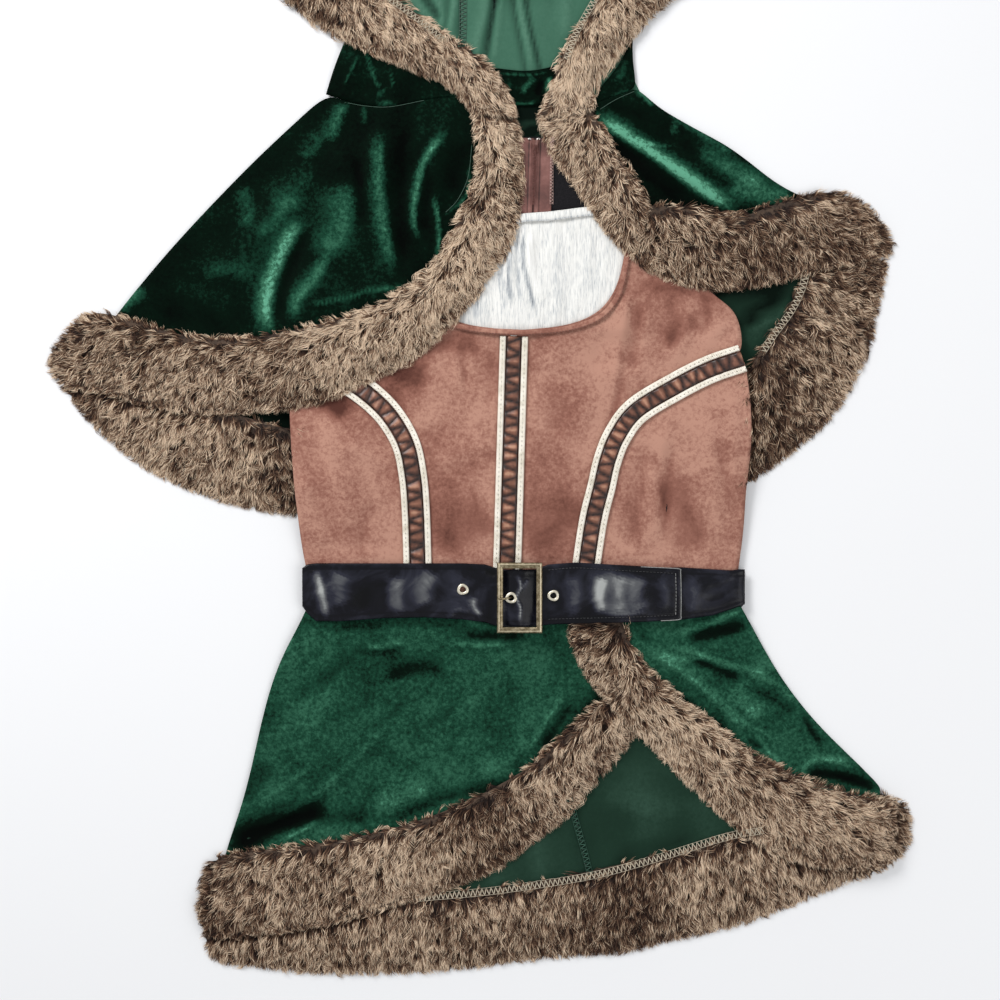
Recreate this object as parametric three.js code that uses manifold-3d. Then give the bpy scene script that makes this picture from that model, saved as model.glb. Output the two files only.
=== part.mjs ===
// An archer costume laid flat: a sleeveless suede-cloth dress with a velvet wrap skirt, its belt, and a
// hooded velvet capelet with fur edges. The back of the capelet lies under the dress, its fronts lie over it.
// Pieces are drafted on a cutting table, in millimetres: x to the right, y towards the hem.

import * as THREE from 'three';
import { mergeVertices } from 'three/addons/utils/BufferGeometryUtils.js';
import Module from 'manifold-3d';

const wasm = await Module();
wasm.setup();

// Driving sizes, in millimetres
const TABLE_CENTRE = { x: 479.5, y: 340.5 };
const VELVET_THICK = 1.5;
const SUEDE_THICK = 1.5;
const GAUZE_THICK = 1;
const STRAP_THICK = 2.2;
const BRAID_THICK = 1.4;
const BRAID_WIDE = 6;
const LACING_WIDE = 14.4;
const LACING_THICK = 1.2;
const GATHER_HIGH = 1.1;
const TRIM_HALF = 11;
const TRIM_SHORT = 24;
const TAPE = { offset: 9.3, wide: 17.6, thick: 1 };
const SLIDER_THICK = 3;
const INSET_GATHER = 0.6;
const CASING = { offset: 4.5, wide: 8, thick: 1.6 };
const BINDING = { offset: 3.2, wide: 6, thick: 1.6 };
const SEAM_GAP = 0.3;
const REST_GAP = 0.3;
const FUR_EDGE = 1.6;
const EYELET = { hole: 3, rim: 5.6, lip: 0.6, thick: 0.9 };
const BUCKLE = { left: 497, right: 542, top: 562, bottom: 632, bar: 6, thick: 3, bevel: 1.1 };
const BUCKLE_BAR = { x: 520, wide: 3, thick: 2, inset: 1.5 };
const PRONG_RADIUS = 1.1;

const FINISH = {
  velvet: new THREE.MeshStandardMaterial({ color: 0x0f4a30, roughness: 0.75 }),
  suede: new THREE.MeshStandardMaterial({ color: 0x966152, roughness: 0.9 }),
  dark_lining: new THREE.MeshStandardMaterial({ color: 0x1c1a1a, roughness: 0.9 }),
  fur: new THREE.MeshStandardMaterial({ color: 0xa08c74, roughness: 0.95 }),
  gauze: new THREE.MeshStandardMaterial({ color: 0xe1e1dc, roughness: 0.9 }),
  braid: new THREE.MeshStandardMaterial({ color: 0xebe4cd, roughness: 0.8 }),
  lacing: new THREE.MeshStandardMaterial({ color: 0x5c3424, roughness: 0.55 }),
  strap: new THREE.MeshStandardMaterial({ color: 0x19191e, roughness: 0.4 }),
  brass: new THREE.MeshStandardMaterial({ color: 0x967d50, roughness: 0.4, metalness: 1 }),
  tape: new THREE.MeshStandardMaterial({ color: 0x7a4a40, roughness: 0.9 }),
};

// A short table: its column names, then its rows, parted by commas
function table(columns, text) {
  const names = columns.split(' ');
  return text.split(',').map((row) => {
    const values = row.trim().split(/\s+/).map(Number);
    return Object.fromEntries(names.map((name, k) => [name, values[k]]));
  });
}

// A smooth line through points, cut into equal lengths
function edge(text, cells) {
  const spots = table('x y', text).map((p) => new THREE.Vector3(p.x, p.y, 0));
  const curve = spots.length > 2
    ? new THREE.CatmullRomCurve3(spots, false, 'centripetal')
    : new THREE.LineCurve3(spots[0], spots[1]);
  curve.arcLengthDivisions = 400;
  return curve.getSpacedPoints(cells).map((p) => ({ x: p.x, y: p.y }));
}

const joined = (first, second) => [...first, ...second.slice(1)];
const reversed = (line) => [...line].reverse();
const mix = (a, b, t) => a + (b - a) * t;

// The points of a cloth panel between its four edges
function patch({ top, right, bottom, left }) {
  const across = top.length - 1;
  const down = left.length - 1;
  return left.map((_, i) => top.map((_, j) => {
    const u = j / across;
    const v = i / down;
    const at = (axis) => mix(top[j][axis], bottom[j][axis], v) + mix(left[i][axis], right[i][axis], u)
      - mix(mix(top[0][axis], top[across][axis], u), mix(bottom[0][axis], bottom[across][axis], u), v);
    return { x: at('x'), y: at('y') };
  }));
}

// The outer loop of a grid, as row and column numbers
function rimOf(grid) {
  const lastRow = grid.length - 1;
  const lastColumn = grid[0].length - 1;
  const rim = [];
  for (let i = 0; i < lastRow; i++) rim.push([i, 0]);
  for (let j = 0; j < lastColumn; j++) rim.push([lastRow, j]);
  for (let i = lastRow; i > 0; i--) rim.push([i, lastColumn]);
  for (let j = lastColumn; j > 0; j--) rim.push([0, j]);
  return rim;
}

// Draws a panel in from its seam lines, so that neighbours part by the seam gap
function drawnIn(grid, amount) {
  const rim = rimOf(grid);
  const spots = rim.map(([i, j]) => grid[i][j]);
  const moved = spots.map((p, k) => {
    const before = spots[(k + rim.length - 1) % rim.length];
    const after = spots[(k + 1) % rim.length];
    const one = new THREE.Vector2(p.x - before.x, p.y - before.y).normalize();
    const two = new THREE.Vector2(after.x - p.x, after.y - p.y).normalize();
    const normal = new THREE.Vector2(one.y + two.y, -one.x - two.x).normalize();
    const reach = amount / Math.max(0.5, normal.dot(new THREE.Vector2(one.y, -one.x)));
    return { x: p.x + normal.x * reach, y: p.y + normal.y * reach };
  });
  rim.forEach(([i, j], k) => Object.assign(grid[i][j], moved[k]));
  return grid;
}

function signedArea(grid) {
  const spots = rimOf(grid).map(([i, j]) => grid[i][j]);
  return spots.reduce((sum, p, k) => {
    const q = spots[(k + 1) % spots.length];
    return sum + p.x * q.y - q.x * p.y;
  }, 0);
}

// Triangles of a grid, as index triples, each cell cut on its shorter diagonal
function facesOf(grid) {
  const columns = grid[0].length;
  const faces = [];
  for (let i = 0; i + 1 < grid.length; i++) {
    for (let j = 0; j + 1 < columns; j++) {
      const [a, b, c, d] = [[i, j], [i + 1, j], [i + 1, j + 1], [i, j + 1]];
      const span = ([r, s], [t, u]) => Math.hypot(grid[r][s].x - grid[t][u].x, grid[r][s].y - grid[t][u].y);
      const number = ([r, s]) => r * columns + s;
      const cut = span(a, c) <= span(b, d) ? [[a, b, c], [a, c, d]] : [[a, b, d], [b, c, d]];
      cut.forEach((corners) => faces.push(corners.map(number)));
    }
  }
  return faces;
}

// A piece of cloth: its grid in plan, how thick it is and what folds it has
function cloth(name, finish, grid, thick, folds = []) {
  if (signedArea(grid) > 0) grid.forEach((row) => row.reverse());
  return { name, finish, grid, faces: facesOf(grid), thick, folds, spots: grid.flat() };
}

const panel = (name, finish, edges, thick, folds) =>
  cloth(name, finish, drawnIn(patch(edges), SEAM_GAP / 2), thick, folds);

// A strip of even width beside a line, such as braid: offset and width in mm
function strip(name, finish, line, offset, wide, thick) {
  const grid = line.map((p, k) => {
    const before = line[Math.max(0, k - 1)];
    const after = line[Math.min(line.length - 1, k + 1)];
    const along = new THREE.Vector2(after.x - before.x, after.y - before.y).normalize();
    return [offset - wide / 2, offset + wide / 2].map((out) => ({
      x: p.x - along.y * out,
      y: p.y + along.x * out,
    }));
  });
  return cloth(name, finish, grid, thick);
}

// A fur strip through sections across it, from its seam to its free edge; high is the depth of its pile
const FUR_PER_SECTION = 2;
const FUR_ACROSS = 4;
const FUR_ROUND = 0.7;

function furBand(name, text) {
  const sections = table('seamX seamY freeX freeY high', text);
  const line = (a, b) => new THREE.CatmullRomCurve3(
    sections.map((s) => new THREE.Vector3(s[a], s[b], s.high)), false, 'centripetal');
  const seam = line('seamX', 'seamY');
  const free = line('freeX', 'freeY');
  const stations = (sections.length - 1) * FUR_PER_SECTION;
  const grid = [];
  for (let k = 0; k <= stations; k++) {
    const s = seam.getPoint(k / stations);
    const f = free.getPoint(k / stations);
    const ending = Math.min(1, (0.6 + Math.min(k, stations - k)) / 2);
    grid.push(Array.from({ length: FUR_ACROSS + 1 }, (_, j) => {
      const v = j / FUR_ACROSS;
      const dome = Math.sin(Math.PI * v) ** FUR_ROUND;
      return { x: mix(s.x, f.x, v), y: mix(s.y, f.y, v), pile: FUR_EDGE + (s.z - FUR_EDGE) * dome * ending };
    }));
  }
  return cloth(name, 'fur', grid, FUR_EDGE);
}

// What lies on the table so far, as heights on a fine square grid
const CELL = 2.5;
const FIELD = { x: 0, y: -340, columns: 400, rows: 560 };
const heights = new Float32Array(FIELD.columns * FIELD.rows);
const columnOf = (x) => Math.floor((x - FIELD.x) / CELL);
const rowOf = (y) => Math.floor((y - FIELD.y) / CELL);

function highestNear(x, y) {
  let highest = 0;
  for (let r = rowOf(y) - 1; r <= rowOf(y) + 1; r++) {
    for (let c = columnOf(x) - 1; c <= columnOf(x) + 1; c++) {
      highest = Math.max(highest, heights[r * FIELD.columns + c]);
    }
  }
  return highest;
}

// Calls back for spots spread evenly over a triangle, its corners and sides too
function eachSpot(corners, step, visit) {
  const [a, b, c] = corners;
  const longest = Math.max(Math.hypot(a.x - b.x, a.y - b.y), Math.hypot(b.x - c.x, b.y - c.y),
    Math.hypot(c.x - a.x, c.y - a.y));
  const parts = Math.ceil(longest / step);
  for (let i = 0; i <= parts; i++) {
    for (let j = 0; i + j <= parts; j++) {
      const weights = [i / parts, j / parts, 1 - (i + j) / parts];
      visit(weights, a.x * weights[0] + b.x * weights[1] + c.x * weights[2],
        a.y * weights[0] + b.y * weights[1] + c.y * weights[2]);
    }
  }
}

function averageRound(grid, i, j) {
  const near = [grid[i - 1]?.[j], grid[i + 1]?.[j], grid[i][j - 1], grid[i][j + 1]].filter(Boolean);
  return near.reduce((sum, p) => sum + p.low, 0) / near.length;
}

// Lets a piece down until it rests on the table or just above what is already there
const SETTLE = { rounds: 5, lifts: 60, ease: 0.35, sink: 0.5, near: 1e-4, touch: 1e-5 };

function settle(piece) {
  const { grid, spots, faces } = piece;
  const contacts = [];
  faces.forEach((face) => {
    const corners = face.map((k) => spots[k]);
    eachSpot(corners, CELL, (weights, x, y) => {
      const under = highestNear(x, y);
      if (under > 0) contacts.push({ corners, weights, need: under + REST_GAP });
    });
  });
  const lift = () => {
    for (let pass = 0; pass < SETTLE.lifts; pass++) {
      let worst = 0;
      contacts.forEach(({ corners, weights, need }) => {
        const short = need - corners.reduce((sum, p, k) => sum + p.low * weights[k], 0);
        if (short <= SETTLE.touch) return;
        worst = Math.max(worst, short);
        const power = weights.reduce((sum, w) => sum + w * w, 0);
        corners.forEach((p, k) => { p.low += short * weights[k] / power; });
      });
      if (worst < SETTLE.near) break;
    }
  };
  const held = new Map(spots.map((p) => [p, []]));
  contacts.forEach((contact) => contact.corners.forEach((p, k) => {
    if (contact.weights[k] > 0) held.get(p).push({ contact, k });
  }));
  const drop = () => spots.forEach((p) => {
    const lowest = held.get(p).reduce((limit, { contact: { corners, weights, need }, k }) => {
      const others = corners.reduce((sum, q, m) => (m === k ? sum : sum + q.low * weights[m]), 0);
      return Math.max(limit, (need - others) / weights[k]);
    }, 0);
    p.low = Math.max(lowest, mix(p.low, lowest, SETTLE.sink));
  });
  spots.forEach((p) => { p.low = 0; });
  lift();
  for (let round = 0; round < SETTLE.rounds; round++) {
    const eased = grid.map((row, i) => row.map((p, j) => mix(p.low, averageRound(grid, i, j), SETTLE.ease)));
    grid.forEach((row, i) => row.forEach((p, j) => { p.low = eased[i][j]; }));
    lift();
    drop();
  }
  spots.forEach((p) => {
    p.low += foldAt(piece.folds, p.x, p.y);
    p.high = p.low + (p.pile ?? piece.thick) + (p.gather ?? 0);
  });
}

// How high the folds lift the cloth at a spot; each fold is a soft ridge along a straight line
function foldAt(folds, x, y) {
  return folds.reduce((total, f) => {
    const run = new THREE.Vector2(f.toX - f.fromX, f.toY - f.fromY);
    const spot = new THREE.Vector2(x - f.fromX, y - f.fromY);
    const along = THREE.MathUtils.clamp(spot.dot(run) / run.lengthSq(), 0, 1);
    const away = spot.distanceTo(run.clone().multiplyScalar(along)) / (f.wide / 2);
    const fade = Math.min(1, 0.35 + 2 * Math.min(along, 1 - along));
    return total + (away < 1 ? f.high * fade * Math.cos(away * Math.PI / 2) ** 2 : 0);
  }, 0);
}

const foldTable = (text) => table('fromX fromY toX toY wide high', text);

// Marks on the table how high a piece now stands
function mark(piece) {
  piece.faces.forEach((face) => {
    const corners = face.map((k) => piece.spots[k]);
    eachSpot(corners, CELL / 2, (weights, x, y) => {
      const top = corners.reduce((sum, p, k) => sum + p.high * weights[k], 0);
      const cell = rowOf(y) * FIELD.columns + columnOf(x);
      heights[cell] = Math.max(heights[cell], top);
    });
  });
}

// The closed wall of a piece: its upper side, its underside and its cut edge
function wallOf({ grid, faces, spots }) {
  const count = spots.length;
  const columns = grid[0].length;
  const place = (p, z) => [p.x - TABLE_CENTRE.x, TABLE_CENTRE.y - p.y, z];
  const positions = [...spots.flatMap((p) => place(p, p.high)), ...spots.flatMap((p) => place(p, p.low))];
  const index = faces.flatMap(([a, b, c]) => [a, b, c, a + count, c + count, b + count]);
  const rim = rimOf(grid).map(([i, j]) => i * columns + j);
  rim.forEach((a, k) => {
    const b = rim[(k + 1) % rim.length];
    index.push(a, a + count, b, b, a + count, b + count);
  });
  const geometry = new THREE.BufferGeometry();
  geometry.setAttribute('position', new THREE.Float32BufferAttribute(positions, 3));
  geometry.setIndex(index);
  return geometry;
}

const costume = new THREE.Group();

function add(name, finish, geometry) {
  geometry.computeVertexNormals();
  const mesh = new THREE.Mesh(geometry, FINISH[finish]);
  mesh.name = name;
  costume.add(mesh);
}

// Lays pieces that are side by side: all settle before any is marked
function lay(...pieces) {
  pieces.forEach(settle);
  pieces.forEach((piece) => {
    mark(piece);
    add(piece.name, piece.finish, wallOf(piece));
  });
}

// Joining and cutting of small hard pieces
function solidOf(geometry) {
  const bare = geometry.clone();
  bare.deleteAttribute('normal');
  bare.deleteAttribute('uv');
  const merged = mergeVertices(bare, 1e-4);
  return new wasm.Manifold(new wasm.Mesh({
    numProp: 3,
    vertProperties: new Float32Array(merged.attributes.position.array),
    triVerts: new Uint32Array(merged.index.array),
  }));
}

function geometryOf(solid) {
  const { vertProperties, triVerts } = solid.getMesh();
  const geometry = new THREE.BufferGeometry();
  geometry.setAttribute('position', new THREE.Float32BufferAttribute(vertProperties, 3));
  geometry.setIndex([...triVerts]);
  return geometry;
}

// Capelet and hood, the layer on the table: hood back and cape back, their reverse side up
const NECK_Y = 98;
const hoodCentre = edge(`461 -277, 461 ${NECK_Y}`, 8);
lay(
  panel('hood_back_left', 'velvet', {
    top: edge('222 -122, 240 -182, 292 -232, 375 -265, 461 -277', 6),
    right: hoodCentre,
    bottom: edge(`334 ${NECK_Y}, 461 ${NECK_Y}`, 6),
    left: edge(`222 -122, 240 -70, 285 -12, 340 20, 357 42, 349 68, 334 ${NECK_Y}`, 8),
  }, VELVET_THICK, foldTable(`
    300 40 300 -190 46 5, 352 70 352 -215 46 6, 405 80 410 -240 44 5`)),
  panel('hood_back_right', 'velvet', {
    top: edge('461 -277, 556 -262, 626 -229, 680 -180, 700 -122', 7),
    right: edge(`700 -122, 694 -70, 675 -20, 642 12, 629 38, 628 62, 632 82, 643 ${NECK_Y}`, 8),
    bottom: edge(`461 ${NECK_Y}, 643 ${NECK_Y}`, 7),
    left: hoodCentre,
  }, VELVET_THICK, foldTable(`
    496 60 500 -235 44 5, 545 50 560 -225 46 6, 610 20 620 -190 46 5`)),
  panel('cape_back', 'velvet', {
    top: edge(`328 ${NECK_Y}, 643 ${NECK_Y}`, 9),
    right: edge(`643 ${NECK_Y}, 702 136, 735 154, 785 194, 813 212, 813 262, 806 300, 784 332, 752 384`, 9),
    bottom: edge('92 380, 132 397, 224 420, 290 440, 400 457, 520 462, 650 442, 712 414, 752 384', 9),
    left: edge(`328 ${NECK_Y}, 252 168, 164 264, 121 313, 94 350, 92 380`, 9),
  }, VELVET_THICK),
);
lay(
  furBand('fur_cape_back_left', `
    96 370 64 386 5, 116 382 82 409 8, 134 388 106 434 9, 165 397 150 468 11, 196 404 186 485 12,
    230 412 222 499 12, 265 423 262 508 12, 302 432 300 514 10, 350 440 348 521 5, 410 447 408 529 4,
    465 451 465 534 4, 520 452 520 535 4`),
  furBand('fur_cape_back_right', `
    520.4 452 520.4 535 4, 580 447 586 530 4, 640 435 652 520 4, 690 417 706 503 5, 728 395 745 483 9,
    745 377 774 463 12, 756 357 808 436 12, 770 337 836 408 12, 784 317 854 376 12, 796 297 869 345 12,
    801 279 873 318 10, 801 262 880 290 8, 803 245 885 262 5`),
  panel('neck_band', 'velvet', {
    top: edge('468 66, 500 69, 530 72, 570 62', 6),
    right: edge('570 62, 572 94', 2),
    bottom: edge('470 97, 510 106, 540 106, 572 94', 6),
    left: edge('468 66, 470 97', 2),
  }, VELVET_THICK, foldTable('520 98 532 74 16 1.5')),
);

// Belt, back stretch, under the dress
const WAIST = { y: 595, left: 313, right: 734 };
const strapGrid = (text) => table('x top bottom', text).map((s) => [0, 0.5, 1].map((v) => (
  { x: s.x, y: mix(s.top, s.bottom, v) })));
const BACK_STRAP = `
  303 570 604, 308 568 612, 316 568 618, 380 567 620, 450 567 620, 520 567 620, 600 567 620, 670 567 619,
  731 568 614, 739 569 610, 744 571 604`;
lay(cloth('belt_back', 'strap', strapGrid(BACK_STRAP), STRAP_THICK));

// Dress back: skirt panels with their reverse side up, and bodice panels that meet at the zip
const backSeam = edge(`518 ${WAIST.y}, 545 700, 572 800, 589 882`, 9);
const skirtLeftSide = `${WAIST.left} ${WAIST.y}, 303 618, 279 663, 264 712, 249 779, 236 824`;
const skirtRightSide = `${WAIST.right} ${WAIST.y}, 746 616, 758 638, 780 676, 813 719, 854 760`;
const backCentre = edge(`518 ${WAIST.y}, 522 450, 530 300, 535 137`, 8);
lay(
  panel('skirt_back_left', 'velvet', {
    top: edge(`${WAIST.left} ${WAIST.y}, 518 ${WAIST.y}`, 6),
    right: backSeam,
    bottom: edge('216 908, 330 913, 414 904, 500 896, 589 882', 6),
    left: edge(`${skirtLeftSide}, 223 856, 216 908`, 9),
  }, VELVET_THICK),
  panel('skirt_back_right', 'velvet', {
    top: edge(`518 ${WAIST.y}, ${WAIST.right} ${WAIST.y}`, 7),
    right: edge(`${skirtRightSide}, 878 784, 884 808`, 9),
    bottom: edge('589 882, 654 866, 719 844, 755 836, 820 822, 884 808', 7),
    left: backSeam,
  }, VELVET_THICK, foldTable(`
    640 790 690 850 60 3, 560 800 545 885 46 2`)),
  panel('bodice_back_left', 'dark_lining', {
    top: edge('330 172, 385 160, 450 141, 535 137', 4),
    right: reversed(backCentre),
    bottom: edge(`${WAIST.left} ${WAIST.y}, 518 ${WAIST.y}`, 4),
    left: edge(`330 172, 334 235, 325 287, 290 322, 290 380, 294 458, 301 530, ${WAIST.left} ${WAIST.y}`, 8),
  }, SUEDE_THICK),
  panel('bodice_back_right', 'dark_lining', {
    top: edge('535 137, 600 140, 650 155, 698 168', 4),
    right: edge(`698 168, 692 235, 701 287, 737 316, 742 380, 746 445, 742 530,
      ${WAIST.right} ${WAIST.y}`, 8),
    bottom: edge(`518 ${WAIST.y}, ${WAIST.right} ${WAIST.y}`, 4),
    left: reversed(backCentre),
  }, SUEDE_THICK),
);

// Zip in the centre back, seen from inside through the neck opening, and the fur of the back hem
const ZIP_LINE = edge('519 540, 523 440, 530 300, 535 139', 8);
lay(
  furBand('fur_skirt_back', `
    214 902 204 930 6, 232 902 214 957 10, 262 904 250 963 12, 300 905 296 969 12, 345 904 345 971 12,
    400 898 400 970 12, 455 892 460 966 12, 510 886 518 958 12, 560 877 572 953 12, 605 867 622 950 12,
    650 857 668 938 12, 695 845 716 928 12, 740 832 762 914 12, 785 821 808 895 12, 825 811 850 879 12,
    855 804 886 866 12, 872 799 908 840 9, 877 792 905 806 5`),
  strip('zip_tape_left', 'tape', ZIP_LINE, -TAPE.offset, TAPE.wide, TAPE.thick),
  strip('zip_tape_right', 'tape', ZIP_LINE, TAPE.offset, TAPE.wide, TAPE.thick),
);
lay(cloth('zip_slider', 'brass', [
  [{ x: 531, y: 141 }, { x: 539, y: 141 }],
  [{ x: 532, y: 153 }, { x: 538, y: 153 }],
], SLIDER_THICK));

// Left flap of the wrap skirt, with its fur
lay(panel('skirt_front_left', 'velvet', {
  top: edge(`${WAIST.left} ${WAIST.y}, 650 ${WAIST.y}`, 12),
  right: edge(`650 ${WAIST.y}, 645 640, 612 704`, 9),
  bottom: edge('222 866, 292 859, 369 846, 458 821, 529 781, 582 728, 612 704', 12),
  left: edge(`${skirtLeftSide}, 222 866`, 9),
}, VELVET_THICK, foldTable(`
  246 822 420 712 52 6, 262 770 400 672 48 4, 330 832 470 742 50 5, 430 690 530 640 44 3,
  470 790 560 700 44 4, 360 640 330 730 40 3`)));
lay(furBand('fur_skirt_front_left', `
  634 674 664 698 5, 606 697 637 728 11, 582 717 615 757 12, 558 742 593 781 13, 528 767 568 812 13,
  494 787 528 843 13, 456 806 494 868 13, 410 823 440 888 13, 366 834 390 903 13, 326 842 340 917 13,
  286 847 288 926 13, 248 851 240 931 12, 222 856 210 932 10, 206 868 199 908 6`));

// Right flap, which wraps over the left one, with its fur
lay(panel('skirt_front_right', 'velvet', {
  top: edge(`606 ${WAIST.y}, ${WAIST.right} ${WAIST.y}`, 6),
  right: edge(`${skirtRightSide}, 880 786`, 11),
  bottom: edge('876 812, 880 786', 6),
  left: edge(`606 ${WAIST.y}, 616 634, 634 672, 670 706, 712 738, 742 766, 778 781, 813 797, 876 812`, 11),
}, VELVET_THICK, foldTable(`
  648 640 742 736 40 4, 664 640 800 738 36 4, 690 640 744 612 30 2, 760 756 850 772 30 2`)));
lay(furBand('fur_skirt_front_right', `
  619 606 567 608 2.2, 622 620 569 622 3, 627 636 574 640 9, 639 661 584 666 12, 664 685 606 696 13,
  694 709 632 724 13, 722 731 664 756 13, 748 752 696 788 13, 778 767 730 819 13,
  811 781 766 845 13, 847 792 812 861 12,
  878 798 858 866 10, 892 806 890 858 6`));

// Gauze inset in the neck, gathered on a cased elastic, and then the bodice fronts
const INSET_CELLS = 22;
const inset = panel('neck_inset', 'gauze', {
  top: edge('450 240, 512 216, 550 212, 590 207, 634 206', INSET_CELLS),
  right: edge('634 206, 634 255, 626 292, 606 326', 5),
  bottom: edge('426 322, 450 333, 483 338, 529 340, 572 336, 606 326', INSET_CELLS),
  left: edge('450 240, 424 280, 426 322', 5),
}, GAUZE_THICK, foldTable(`
  514 246 510 312 15 2.5, 529 222 526 275 15 3, 524 275 536 322 15 3, 470 262 466 318 16 2`));
inset.grid.forEach((row) => row.forEach((p, j) => { p.gather = (j % 2) * INSET_GATHER; }));
lay(inset);
const casingLine = edge('450 241, 512 217, 550 213, 590 208, 634 207', INSET_CELLS);
lay(strip('inset_casing', 'gauze', casingLine, CASING.offset, CASING.wide, CASING.thick));

const scoopLeft = '372 162, 384 205, 404 255, 420 290, 436 314, 455 323, 483 328, 514 330';
const scoopRight = '514 330, 529 330, 567 326, 596 316, 612 300, 620 278, 627 235, 640 170';
const leftSeamText = '292 356, 322 366, 355 385, 379 404, 395 423, 407 446, 413 474, 416 508, 418 570';
const rightSeamText = '741 359, 709 370, 675 387, 636 411, 617 436, 607 461, 601 487, 593 520, 585 572';
const SEAM_CELLS = 11;
const NECK_CELLS = 8;
const centreSeam = edge(`514 330, 510 470, 507 ${WAIST.y}`, SEAM_CELLS);
const leftSeam = edge(`${leftSeamText}, 419 ${WAIST.y}`, SEAM_CELLS);
const rightSeam = edge(`${rightSeamText}, 584 ${WAIST.y}`, SEAM_CELLS);
lay(
  panel('bodice_centre_left', 'suede', {
    top: edge('330 168, 372 162', 5),
    right: joined(edge(scoopLeft, NECK_CELLS), centreSeam),
    bottom: edge(`419 ${WAIST.y}, 507 ${WAIST.y}`, 5),
    left: joined(edge('330 168, 334 235, 325 287, 288 318, 292 356', NECK_CELLS), leftSeam),
  }, SUEDE_THICK, foldTable('452 336 462 392 34 4, 400 350 440 380 30 2')),
  panel('bodice_centre_right', 'suede', {
    top: edge('640 170, 698 166', 5),
    right: joined(edge('698 166, 692 235, 703 288, 738 313, 741 359', NECK_CELLS), rightSeam),
    bottom: edge(`507 ${WAIST.y}, 584 ${WAIST.y}`, 5),
    left: joined(reversed(edge(scoopRight, NECK_CELLS)), centreSeam),
  }, SUEDE_THICK, foldTable('640 300 612 392 38 5, 560 360 590 420 32 2')),
  panel('bodice_side_left', 'suede', {
    top: edge('290 362, 292 356', 4),
    right: leftSeam,
    bottom: edge(`${WAIST.left} ${WAIST.y}, 419 ${WAIST.y}`, 4),
    left: edge(`290 362, 290 400, 293 458, 298 510, 304 556, ${WAIST.left} ${WAIST.y}`, SEAM_CELLS),
  }, SUEDE_THICK, foldTable('345 420 352 520 36 3')),
  panel('bodice_side_right', 'suede', {
    top: edge('741 359, 744 365', 4),
    right: edge(`744 365, 749 400, 750 445, 745 492, 743 530, ${WAIST.right} ${WAIST.y}`, SEAM_CELLS),
    bottom: edge(`584 ${WAIST.y}, ${WAIST.right} ${WAIST.y}`, 4),
    left: rightSeam,
  }, SUEDE_THICK, foldTable('664 425 654 540 38 4, 712 470 722 560 30 2')),
);

// Binding round the scoop, and on each seam two braids with gathered lacing between them
const scoop = joined(edge(scoopLeft, 14), edge(scoopRight, 14));
const TRIMS = [
  { side: 'centre', text: `514 337, 510 470, 507 ${WAIST.y - TRIM_SHORT}`, cells: 10, gathers: 22 },
  { side: 'left', text: leftSeamText, cells: 16, gathers: 25 },
  { side: 'right', text: rightSeamText, cells: 16, gathers: 28 },
];
const trimPieces = TRIMS.flatMap(({ side, text, cells, gathers }) => {
  const line = edge(text, cells);
  const lacing = strip(`lacing_${side}`, 'lacing', edge(text, gathers * 2), 0, LACING_WIDE, LACING_THICK);
  lacing.grid.forEach((row, k) => row.forEach((p) => { p.gather = (k % 2) * GATHER_HIGH; }));
  return [
    strip(`braid_${side}_outer`, 'braid', line, TRIM_HALF, BRAID_WIDE, BRAID_THICK),
    strip(`braid_${side}_inner`, 'braid', line, -TRIM_HALF, BRAID_WIDE, BRAID_THICK),
    lacing,
  ];
});
lay(...trimPieces);
lay(strip('neck_binding', 'suede', scoop, BINDING.offset, BINDING.wide, BINDING.thick));

// Belt front: the buckled end from the right, then the long strap through the buckle to its tip
const END_STRAP = `
  524.5 573 617, 560 571 618, 600 570 618, 640 568 619, 680 567 619.5, 712 569 615, 730 570 609,
  739 569 606, 744 569 604`;
lay(cloth('belt_end', 'strap', strapGrid(END_STRAP), STRAP_THICK));

const barLow = Math.max(...[565, 580, 597, 615, 629].map((y) => highestNear(BUCKLE_BAR.x, y))) + REST_GAP;
const barHigh = barLow + BUCKLE_BAR.thick;
const halfBar = BUCKLE_BAR.wide / 2;
const PRONG_ROOM = 8;
mark(Object.assign(cloth('bar', 'brass', [
  [{ x: BUCKLE_BAR.x - halfBar - PRONG_ROOM, y: 595 }, { x: BUCKLE_BAR.x + halfBar, y: BUCKLE.top + 2 }],
  [{ x: BUCKLE_BAR.x - halfBar - PRONG_ROOM, y: 599 }, { x: BUCKLE_BAR.x + halfBar, y: BUCKLE.bottom - 2 }],
].map((row) => row.map((p) => ({ ...p, high: barHigh }))), 0)));

const FRONT_STRAP = `
  303 568 606, 308 564 613, 317 563 621, 340 563 621, 380 563 618, 425 563 617, 463 563 619, 485 564 622,
  494 567 625, 503 568.8 626.3, 510 568.8 626.3, 518 568.8 626.3, 526 568.8 626.3, 536 568.6 626, 548 564 624,
  575 562 623, 610 564 622, 645 566 621, 680 568 619`;
const strap = cloth('belt_front', 'strap', strapGrid(FRONT_STRAP), STRAP_THICK);
settle(strap);
mark(strap);
const EYELETS = table('x y', '463 589, 511 597, 553 595');
const holes = EYELETS.map(({ x, y }) => {
  const hole = new THREE.CylinderGeometry(EYELET.hole, EYELET.hole, 60, 12).rotateX(Math.PI / 2);
  return solidOf(hole.translate(x - TABLE_CENTRE.x, TABLE_CENTRE.y - y, 20));
});
const holedStrap = holes.reduce((solid, hole) => solid.subtract(hole), solidOf(wallOf(strap)));
add('belt_front', 'strap', geometryOf(holedStrap));
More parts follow.
